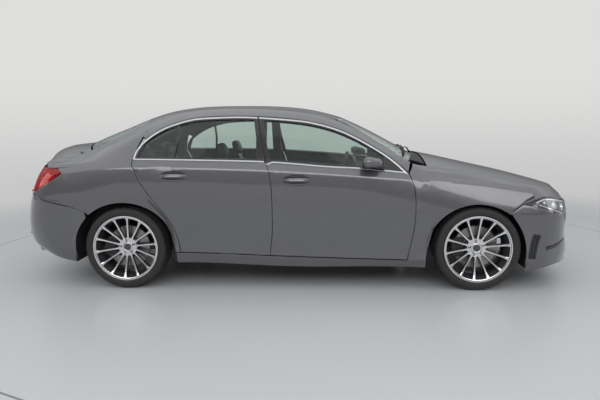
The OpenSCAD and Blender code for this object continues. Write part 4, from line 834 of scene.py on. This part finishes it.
# Tyre: sidewalls with a rim guard, and a tread of ribs, grooves and shoulder blocks
half = [(0.2414, 0.0980), (0.2580, 0.1000), (0.2620, 0.1050), (0.2660, 0.1095), (0.2710, 0.1125), (0.2760, 0.1110),
    (0.2820, 0.1122), (0.2900, 0.1124), (0.2990, 0.1105), (0.3030, 0.1088), (0.3045, 0.1092), (0.3100, 0.1050),
    (0.3160, 0.0985), (0.3200, 0.0915), (0.3225, 0.0830), (0.3238, 0.0720), (0.3242, 0.0590), (0.3170, 0.0575),
    (0.3170, 0.0495), (0.3245, 0.0480), (0.3249, 0.0240), (0.3172, 0.0225), (0.3172, 0.0130), (0.3250, 0.0115),
    (0.3250, 0.0)]
tyre = turned("Tyre", half + [(r, -z) for r, z in reversed(half[:-1])], TREAD_STEPS)
edit(tyre, "FACE")
for least, inner, outer, every, deep in ((0.3175, 0.060, 0.099, 4, 0.984), (0.3242, 0.026, 0.046, 5, 0.985)):
    def sipe(face):
        """Every few faces round the tread, between two distances from its middle."""
        c = face.calc_center_median()
        step = round(math.atan2(c.y, c.x) / math.tau * TREAD_STEPS - 0.5)
        return c.xy.length > least and inner < abs(c.z) < outer and step % every == 0
    pick(tyre, sipe)
    bpy.ops.mesh.extrude_region_move()
    bpy.ops.transform.resize(value=(deep, deep, 1), center_override=(0, 0, 0))
leave()
smooth(tyre, 28)

for axle, (x, y, z) in WHEEL_PLACES.items():
    for side, way in SIDES.items():
        turn = Matrix.Rotation(math.radians(-90 * way), 4, "X")
        place = Matrix.Translation((x, way * y, z)) @ turn @ Matrix.Rotation(math.radians(8), 4, "Z")
        name = f"{axle}_{side}"
        body = f"wheel_{name}"
        dressed(own_copy(wheel, f"alloy_wheel_{name}", place), None, body, "alloy", body)
        dressed(own_copy(tyre, f"road_tyre_{name}", place), tyre_rubber, body, "tyre_rubber", f"tyre_{name}")
bpy.data.objects.remove(wheel)
bpy.data.objects.remove(tyre)


# ---- Lamps ------------------------------------------------------------------------------------------
def outboard(vector, y):
    """A vector given for the left side, turned for the side that y is on."""
    return Vector((vector[0], vector[1] * (1 if y > 0 else -1), vector[2]))


def lamp(node_name, way_out, recess, housing, cover, body, slot):
    """A lamp as a recessed housing behind a thin clear or red cover."""
    inner = rounded(merged(node_name, node_name + "_housing"), 2, edge=0)
    for v in inner.data.vertices:
        v.co -= outboard(way_out, v.co.y) * recess
    dressed(smooth(inner, 40), housing, body, slot)
    outer = rounded(merged(node_name, node_name + "_cover"), 2, edge=0)
    edit(outer, "FACE")
    pick(outer, lambda f: f.normal.dot(outboard(way_out, f.calc_center_median().y)) < 0.30)
    bpy.ops.mesh.delete(type="FACE")
    leave()
    m = outer.modifiers.new("Wall", "SOLIDIFY")
    m.thickness, m.offset = 0.0022, -1
    apply_modifiers(outer)
    dressed(smooth(outer, 40), cover, body, slot, node_name)
    return inner


lamp_body = lamp("headlamps", (0.6, 0.8, 0), 0.016, lamp_dark, clear_cover, "body", "clear_lamp")
for side, way in SIDES.items():
    brow = [(1.845, 0.693), (1.90, 0.699), (1.96, 0.697), (2.03, 0.684), (2.07, 0.674), (2.105, 0.664)]
    guide = strip(f"day_light_{side}", lamp_body, eased(brow, 0.03), way, 0.011, 0.006, light_guide)
    dressed(guide, None, "body", "clear_lamp")
    foot = [(1.845, 0.668), (1.90, 0.650), (1.97, 0.622), (2.04, 0.598), (2.10, 0.570)]
    rim_line = strip(f"lamp_foot_trim_{side}", lamp_body, eased(foot, 0.03), way, 0.007, 0.004, chrome_bright)
    dressed(rim_line, None, "body", "clear_lamp")
    for number, (x, z, size) in enumerate(((2.075, 0.632, 1.0), (1.985, 0.657, 0.86), (1.910, 0.676, 0.55))):
        place, normal = on_panel(lamp_body, x, z, way)
        eye = turned(f"lamp_eye_{number}_{side}", [(0.0, -0.024), (0.024, -0.024), (0.0290, -0.004),
            (0.0300, 0.002), (0.0288, 0.0045), (0.0262, 0.0040), (0.0245, -0.001), (0.0236, -0.0005),
            (0.0228, 0.0035), (0.0180, 0.0085), (0.0100, 0.0120), (0.0, 0.0130)], 48)
        finish_faces(smooth(eye, 40), chrome_bright, (light_guide,
            lambda f: off_axis(f) < 0.0236 and f.center.z > 0))
        aim = (normal + Vector((1.0, 0, 0.0))).normalized()
        eye.data.transform(stood(place - normal * 0.003, aim) @ Matrix.Scale(size, 4))
        dressed(eye, None, "body", "clear_lamp")

tail_body = lamp("tail_lamps", (-0.7, 0.7, 0), 0.013, red_body, red_cover, "body", "red_lamp")
for side, way in SIDES.items():
    for number, line in enumerate(([(-2.045, 0.905), (-1.990, 0.918), (-1.920, 0.917), (-1.858, 0.906)],
            [(-2.055, 0.866), (-1.985, 0.874), (-1.915, 0.880), (-1.866, 0.884)])):
        bar = strip(f"tail_light_bar_{number}_{side}", tail_body, eased(line, 0.03), way, 0.013, 0.006,
            red_guide)
        dressed(bar, None, "body", "red_lamp")
    line = [(-2.050, 0.815), (-1.990, 0.826), (-1.930, 0.838)]
    bar = strip(f"reverse_light_{side}", tail_body, eased(line, 0.03), way, 0.024, 0.005, light_guide)
    dressed(bar, None, "body", "clear_lamp")
lamp("boot_lamps", (-1, 0, 0), 0.008, red_body, red_cover, "boot_lid", "red_lamp")


# ---- Front and rear ends ---------------------------------------------------------------------------
grille_skin = refined("grille", black_gloss, 1, slot="black_trim")
bumper_front, bumper_rear = panels["front_bumper"], panels["rear_bumper"]


def across(name, target, bars, width, proud, material, way=1):
    """A trim on the body of level bars from side to side over target, each a (height, reach)."""
    made = []
    for k, (z, reach) in enumerate(bars):
        n = int(reach * 2 / 0.05)
        found = [ahead(target, -reach + 2 * reach * i / n, z, way) for i in range(n + 1)]
        made.append(band(f"{name} {k}", found, width, proud, material))
    return dressed(joined(name, made), None, "body", "black_trim" if way > 0 else "grey_paint")


# Studs: one small cut stone, copied over the grille in offset rows
stud = lofted("Stud", [oval((0, 0, 0), (0.0075, 0, 0), (0, 0.0055, 0), 6), oval((0, 0, 0.0025), (0.0072, 0, 0),
    (0, 0.0052, 0), 6), oval((0, 0, 0.0050), (0.0035, 0, 0), (0, 0.0024, 0), 6)])
finish_faces(stud, satin)
STUD_ROWS, ROW_STEP, STUD_STEP, STUD_FOOT, BLADES_Z = 9, 0.0232, 0.029, 0.492, 0.586
studs = []
for row in range(STUD_ROWS):
    z = STUD_FOOT + row * ROW_STEP
    if abs(z - BLADES_Z) < 0.018:
        continue
    reach = 0.40 - 0.05 * abs(z - 0.60) / 0.1
    for k in range(-14, 15):
        y = (k + (row % 2) * 0.5) * STUD_STEP
        if abs(y) < reach:
            studs.append(own_copy(stud, f"Stud {row} {k}", stood(*ahead(grille_skin, y, z))))
bpy.data.objects.remove(stud)
dressed(joined("grille_studs", studs), None, "body", "black_trim")
across("grille_blades", grille_skin, [(0.581, 0.425), (0.595, 0.425)], 0.008, 0.016, satin)
disc = turned("grille_disc", [(0.0, 0.004), (0.052, 0.004), (0.0545, 0.010), (0.0530, 0.0160), (0.0490, 0.0170),
    (0.0465, 0.0145), (0.0250, 0.0165), (0.0, 0.0170)], 64)
disc.data.transform(stood(*ahead(grille_skin, 0, 0.588)))
dressed(smooth(disc, 30), satin, "body", "black_trim")
across("intake_slats", grille_skin, [(0.238, 0.44), (0.268, 0.45), (0.298, 0.46), (0.328, 0.46), (0.358, 0.46)],
    0.007, 0.010, black_plastic)
across("front_splitter_line", bumper_front, [(0.190, 0.62)], 0.010, 0.005, satin)

# Side air slots in the front bumper: a black recess with two blades
for side, way in SIDES.items():
    edge = eased([(1.795, 0.250), (1.800, 0.330), (1.810, 0.400), (1.822, 0.440)], 0.03)
    slot_parts = []
    for d, width, proud, material in ((0.030, 0.062, 0.0015, black_gloss), (0.022, 0.010, 0.007, black_plastic),
            (0.044, 0.010, 0.007, black_plastic)):
        slot_parts.append(strip(f"Blade {d}", bumper_front, [(x + d, z) for x, z in edge], way, width, proud,
            material))
    dressed(joined(f"air_slot_{side}", slot_parts), None, "body", "grey_paint")
    corner = eased([(1.93, 0.330), (2.00, 0.345), (2.06, 0.360), (2.11, 0.372)], 0.03)
    fin = strip(f"corner_fin_{side}", bumper_front, corner, way, 0.030, 0.004, black_gloss)
    dressed(fin, None, "body", "grey_paint")

# Rear bumper: a black lower valance, a bright line, reflectors and two tail pipe trims
finish_faces(bumper_rear, paint, (black_plastic, lambda f: f.center.z < 0.335 and f.center.x < -2.06))
across("valance_line", bumper_rear, [(0.337, 0.62)], 0.010, 0.005, satin, way=-1)
for side, way in SIDES.items():
    found = [ahead(bumper_rear, way * y, 0.415, -1) for y in (0.56, 0.61, 0.66, 0.70)]
    dressed(band(f"rear_reflector_{side}", found, 0.022, 0.004, red_body), None, "body", "red_lamp")
    place, _ = ahead(bumper_rear, way * 0.49, 0.262, -1)
    ring = plaque(f"tail_pipe_trim_{side}", (place.x, way * 0.49, 0.262), (1, 0, 0), [(d, 0.088 + g, 0.036 + g)
        for d, g in ((0.06, 0.0), (-0.008, 0.002), (-0.014, 0.001), (-0.014, -0.004), (-0.004, -0.008),
            (0.05, -0.010))], 0.75)
    finish_faces(smooth(ring, 40), exhaust_steel,
        (black_plastic, lambda f: abs(f.normal.x) > 0.9 and f.center.x > place.x + 0.03))
    dressed(ring, None, "body", "exhaust_steel")
for end, way, body in (("front", 1, "body"), ("rear", -1, "boot_lid")):
    low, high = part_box(f"{end}_plate_holder")
    middle = (high[0] if way > 0 else low[0], 0, (low[2] + high[2]) / 2)
    holder = plaque(f"{end}_plate_frame", middle, (way, 0, 0), ((-0.010, 0.262, 0.058), (0.001, 0.263, 0.059),
        (0.003, 0.2615, 0.0575), (0.003, 0.2560, 0.0525), (0.001, 0.2550, 0.0515)), 0.18)
    dressed(smooth(holder, 35), black_plastic, body, "black_trim", f"{end}_plate_holder")
    plate = plaque(f"{end}_plate", middle, (way, 0, 0), ((0.0005, 0.2545, 0.0510), (0.0022, 0.2545, 0.0510),
        (0.0022, 0.2515, 0.0480), (0.0014, 0.2505, 0.0470)), 0.16)
    dressed(smooth(plate, 35), plate_white, body, "black_trim")

# Arch liners below the wheelhouses, behind the edges of the bumpers, and the dark tips of the headlamps
for side, way in SIDES.items():
    for end, cx, r, low, y_out, flip in (("front", 1.4065, 0.402, -22, 0.855, 1),
            ("rear", -1.3155, 0.418, -16, 0.850, -1)):
        rings = []
        for k in range(13):
            a = math.radians(low + (48 - low) * k / 12)
            way_out = Vector((flip * math.cos(a), 0, math.sin(a)))
            middle = Vector((cx, 0, 0.325))
            rings.append([middle + way_out * d + Vector((0, way * y, 0))
                for d, y in ((r, 0.50), (r, y_out), (r + 0.004, y_out), (r + 0.004, 0.50))])
        liner = lofted(f"arch_liner_{end}_{side}", rings)
        dressed(smooth(liner, 40), black_plastic, "body", "underbody")
    rings = []
    for x, z0, z1 in ((1.757, 0.664, 0.669), (1.785, 0.658, 0.690), (1.815, 0.650, 0.710),
            (1.862, 0.640, 0.714)):
        low_place, _ = on_panel(bumper_front, x, z0 - 0.014, way)
        upper_panel = panels[f"front_wing_{side}"] if x < 1.83 else bumper_front
        high_place, _ = on_panel(upper_panel, x, z1 + 0.010, way)
        rings.append([(x, low_place.y - way * 0.008, z0), (x, high_place.y - way * 0.008, z1),
            (x, high_place.y - way * 0.014, z1), (x, low_place.y - way * 0.014, z0)])
    dressed(smooth(lofted(f"headlamp_tip_{side}", rings), 40), black_gloss, "body", "clear_lamp")

# Mirrors: painted cap, black foot and lower edge, silvered glass behind
for side, way in SIDES.items():
    name = f"door_mirror_{side}"
    shell = rounded(merged(name, name + "_skin"), 1, edge=0.0)
    low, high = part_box(name)
    finish_faces(shell, paint, (black_gloss, lambda f: f.center.z < low[2] + 0.026 or abs(f.center.y) < 0.880))
    dressed(shell, None, f"front_door_{side}", "grey_paint", name)
    y = way * (abs(low[1] if way < 0 else high[1]) - 0.078)
    glass = plaque(f"mirror_glass_{side}", *ahead(shell, y, 0.990, -1), ((-0.004, 0.056, 0.034),
        (0.0015, 0.056, 0.034), (0.0022, 0.0545, 0.0325), (0.0016, 0.0535, 0.0315)), 0.6)
    finish_faces(smooth(glass, 35), black_plastic, (mirror_silver, silvered))
    dressed(glass, None, f"front_door_{side}", "grey_paint")

# Wipers: an arm from the scuttle to a blade that lies on the screen
for name, y0, y1 in (("passenger", -0.56, -0.06), ("driver", 0.02, 0.56)):
    reach = [y0 + (y1 - y0) * k / 10 for k in range(11)]
    found = [above(panels["windscreen"], 0.918 - 0.10 * y ** 2, y) for y in reach]
    blade = band(f"Blade {name}", [(p + n * 0.004, n) for p, n in found], 0.010, 0.014, black_plastic)
    middle, normal = found[5]
    foot = above(panels["cowl"], 0.992, y1 - 0.02)[0] + Vector((0, 0, 0.004))
    rings = []
    for k in range(9):
        t = k / 8
        rise = Vector((0, 0, 0.022 * math.sin(math.pi * t)))
        rings.append(oval(foot.lerp(middle + normal * 0.020, t) + rise, (0.0085 - 0.004 * t, 0.003, 0),
            (0, 0, 0.0050 - 0.0015 * t), 8))
    arm = lofted(f"Arm {name}", rings)
    finish_faces(smooth(arm, 50), black_plastic)
    knob = turned(f"Knob {name}", [(0, -0.012), (0.013, -0.012), (0.0135, 0.010), (0.011, 0.0150),
        (0.0, 0.0165)], 24)
    knob.data.transform(Matrix.Translation(foot))
    finish_faces(smooth(knob, 35), black_plastic)
    dressed(joined(f"wiper_{name}", [blade, arm, knob]), None, "body", "black_trim")


# ---- Cabin -------------------------------------------------------------------------------------------
VOXEL, MOST_SWELL, FILL = 0.009, 0.022, 0.75


def plumped(obj, seams):
    """Swells a cushion in a short cloth simulation, caps the swell, then presses in its seams."""
    m = obj.modifiers.new("Remesh", "REMESH")
    m.mode, m.voxel_size = "VOXEL", VOXEL
    apply_modifiers(obj)
    start = [v.co.copy() for v in obj.data.vertices]
    cloth = obj.modifiers.new("Cloth", "CLOTH")
    cloth.settings.use_pressure = True
    cloth.settings.uniform_pressure_force = 4
    cloth.settings.effector_weights.gravity = 0
    cloth.point_cache.frame_start, cloth.point_cache.frame_end = 1, 20
    for step in range(1, 21):
        bpy.context.scene.frame_set(step)
    apply_modifiers(obj)
    bpy.context.scene.frame_set(1)
    for v, rest in zip(obj.data.vertices, start):
        move = v.co - rest
        v.co = rest + move * min(1, MOST_SWELL / max(move.length, 1e-6))
    for axis, level in seams:
        for v in obj.data.vertices:
            d = abs(v.co[axis] - level)
            if d < 0.02 and abs(v.normal[axis]) < 0.8:
                v.co -= v.normal * 0.008 * math.exp(-(d / 0.006) ** 2)
    subdivided(obj, 1)
    dressed(smooth(obj, 180), leather, "body", "seat_cloth")


def pad(name, stations, width, depth):
    """A pad lofted along stations, each (centre x, centre z, lean in degrees, width share, depth share)."""
    rings = []
    for x, z, lean, w, d in stations:
        a = math.radians(lean)
        thick = Vector((math.cos(a), 0, math.sin(a))) * depth / 2 * d
        rings.append(oval((x, 0, z), (0, width / 2 * w, 0), thick, 16, 0.62))
    return lofted(name, rings, 1)


def leaning(foot, lean, up, shares):
    """Stations up a leaning back, each at a height up(t), from (t, width share, depth share)."""
    a = math.radians(lean)
    return [(foot[0] - math.sin(a) * up(t), foot[1] + math.cos(a) * up(t), lean, w, d) for t, w, d in shares]


def seat_set(prefix, width, base, back, lean, tall, cushion_x, heads):
    """A cushion, a back and, at each place across in heads, a headrest on two posts."""
    x0, x1 = cushion_x
    cushion = pad(f"{prefix}_cushion", [(x0, base, 90, 0.80, 0.45), (x0 + 0.03, base, 90, 0.94, 0.85),
        ((x0 + x1) / 2, base + 0.004, 90, 1.0, 1.0), (x1 - 0.07, base + 0.010, 90, 1.0, 1.05),
        (x1 - 0.02, base + 0.004, 90, 0.96, 0.85), (x1, base - 0.006, 90, 0.84, 0.45)], width, 0.115)
    rest = pad(f"{prefix}_back", leaning(back, lean, lambda t: tall * t, ((0.00, 0.86, 0.5), (0.05, 0.96, 0.95),
        (0.30, 1.0, 1.0), (0.55, 1.0, 0.95), (0.80, 0.92, 0.85), (0.96, 0.80, 0.65), (1.0, 0.70, 0.35))),
        width, 0.105)
    made = [(cushion, [(1, width * 0.28), (1, -width * 0.28), (0, (x0 + x1) / 2 + 0.02)]),
        (rest, [(1, width * 0.27), (1, -width * 0.27), (2, back[1] + tall * 0.55)])]
    posts = []
    for k, dy in enumerate(heads):
        head = pad(f"{prefix}_headrest_{k}", leaning(back, lean, lambda t: tall + 0.035 + 0.135 * t,
            ((0.0, 0.8, 0.4), (0.05, 0.96, 0.9), (0.5, 1.0, 1.0), (0.90, 0.92, 0.85), (1.0, 0.72, 0.4))),
            0.25, 0.075)
        head.data.transform(Matrix.Translation((0, dy, 0)))
        made.append((head, []))
        for letter, s in (("a", -0.05), ("b", 0.05)):
            line = leaning(back, lean, lambda t: tall - 0.05 + 0.11 * t, ((0, 1, 1), (0.5, 1, 1), (1, 1, 1)))
            post = lofted(f"{prefix}_headrest_post_{k}_{letter}", [oval((x, dy + s, z), (0.006, 0, 0),
                (0, 0.006, 0), 12) for x, z, *_ in line])
            posts.append(dressed(smooth(post, 50), satin, "body", "seat_cloth"))
    for obj, seams in made:
        plumped(obj, seams)
    return [obj for obj, _ in made], posts


SEAT_MIDDLE = 0.37
pads, posts = seat_set("driver_seat", 0.50, 0.408, (-0.375, 0.400), 20, 0.60, (-0.30, 0.165), (0.0,))
for obj in pads + posts:
    twin = own_copy(obj, obj.name.replace("driver", "passenger"), Matrix.Translation((0, -SEAT_MIDDLE, 0)))
    dressed(twin, None, "body", "seat_cloth")
    obj.data.transform(Matrix.Translation((0, SEAT_MIDDLE, 0)))
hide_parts("front_seats")
pads, _ = seat_set("rear_seat", 1.16, 0.478, (-1.075, 0.500), 22, 0.49, (-1.03, -0.63), (-0.35, 0.35))
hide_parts("rear_seat")
for side, way in SIDES.items():
    base = lofted(f"seat_plinth_{side}", [oval((-0.07, way * SEAT_MIDDLE, z), (r, 0, 0), (0, r, 0), 24, 0.35)
        for z, r in ((0.232, 0.20), (0.250, 0.215), (0.330, 0.205), (0.362, 0.19))])
    dressed(smooth(base, 40), cabin_plastic, "body", "seat_cloth")

refined("dashboard", cabin_plastic, 1, slot="cabin_plastic", edge=0.003)
rear_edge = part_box("dashboard")[0][0]
screen = plaque("twin_screen", (0, 0.24, 0.925), (1, 0, 0), ((0.530, 0.306, 0.046), (0.516, 0.31, 0.050),
    (0.512, 0.31, 0.050), (0.510, 0.306, 0.046)), 0.25)
dressed(smooth(screen, 35), black_gloss, "body", "cabin_plastic")
for k, y in enumerate((-0.60, -0.14, 0.0, 0.14, 0.62)):
    vent = turned(f"air_vent_{k}", [(0, 0), (0.036, 0), (0.0385, 0.004), (0.0385, 0.012), (0.035, 0.015),
        (0.031, 0.012), (0.030, 0.004), (0.012, 0.004), (0.010, 0.010), (0.0, 0.011)], 36)
    finish_faces(smooth(vent, 35), black_plastic, (satin, lambda f: off_axis(f) > 0.030))
    vent.data.transform(Matrix.Translation((rear_edge + 0.010, y, 0.80))
        @ Matrix.Rotation(math.radians(-90), 4, "Y"))
    dressed(vent, None, "body", "cabin_plastic")

joint = next(j for j in frame["joints"] if j["name"] == "steering_wheel_turn")
rim = turned("Steering rim", [(0.1825 + 0.0155 * math.cos(math.tau * k / 14),
    0.0155 * math.sin(math.tau * k / 14)) for k in range(14)], 96)
airbag = lofted("Airbag", [oval((0, 0, z), (a, 0, 0), (0, b, 0), 24, 0.7) for a, b, z in ((0.062, 0.050, -0.030),
    (0.066, 0.054, -0.012), (0.064, 0.052, 0.004), (0.050, 0.040, 0.012), (0.022, 0.018, 0.015))], 1)
parts = [finish_faces(smooth(rim, 60), leather), finish_faces(smooth(airbag, 60), cabin_plastic)]
for angle in (0, 180, 270):
    arm = lofted(f"Arm {angle}", [oval((r, 0, z), (0, w, 0), (0, 0, 0.006), 12, 0.6)
        for r, w, z in ((0.045, 0.030, -0.010), (0.090, 0.020, -0.010), (0.140, 0.015, -0.004),
            (0.176, 0.018, 0.0))])
    arm.data.transform(Matrix.Rotation(math.radians(angle), 4, "Z"))
    parts.append(finish_faces(smooth(arm, 60), satin if angle == 270 else black_gloss))
column = turned("Column", [(0, -0.12), (0.034, -0.12), (0.040, -0.04), (0.030, -0.022), (0, -0.022)], 36)
parts.append(finish_faces(smooth(column, 40), cabin_plastic))
wheel = joined("steering_wheel_rim", parts)
wheel.data.transform(stood(joint["pos_m"], Vector(joint["axis"])))
dressed(wheel, None, "steering_wheel", "cabin_plastic", "steering_wheel")

place, normal = above(panels["windscreen"], 0.46, 0.0)
mirror = plaque("cabin_mirror", (place.x - 0.055, 0, place.z - 0.075), (1, 0, 0), ((0.016, 0.070, 0.014),
    (0.008, 0.112, 0.028), (-0.006, 0.118, 0.032), (-0.010, 0.112, 0.028)), 0.5)
finish_faces(smooth(mirror, 40), black_plastic, (mirror_silver, silvered))
foot = Vector((place.x - 0.050, 0, place.z - 0.072))
stem = lofted("Stem", [oval(foot.lerp(place - normal * 0.010, t), (0.009, 0, 0), (0, 0.009, 0), 12)
    for t in (0, 0.5, 1)])
finish_faces(smooth(stem, 50), black_plastic)
dressed(joined("cabin_mirror", [mirror, stem]), None, "body", "cabin_plastic")
finish_faces(panels["roof_panel"], paint, (lining, lambda f: f.normal.z < -0.4))


# ---- The CAD pieces that stay as they are ----------------------------------------------------------
FINISH_OF_SLOT = {"grey_paint": paint, "black_trim": black_plastic, "window_glass": window_tint, "alloy": satin,
    "tyre_rubber": black_plastic, "cast_parts": cast, "exhaust_steel": exhaust_steel, "underbody": underbody,
    "seat_cloth": carpet, "cabin_plastic": cabin_plastic, "clear_lamp": chrome, "red_lamp": black_gloss}
for sub in frame["record"]["subparts"]:
    obj = NODES[sub["node"]]
    if not obj.hide_render:
        obj.data.materials.clear()
        obj.data.materials.append(FINISH_OF_SLOT[sub["material_slot"]])

low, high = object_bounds()
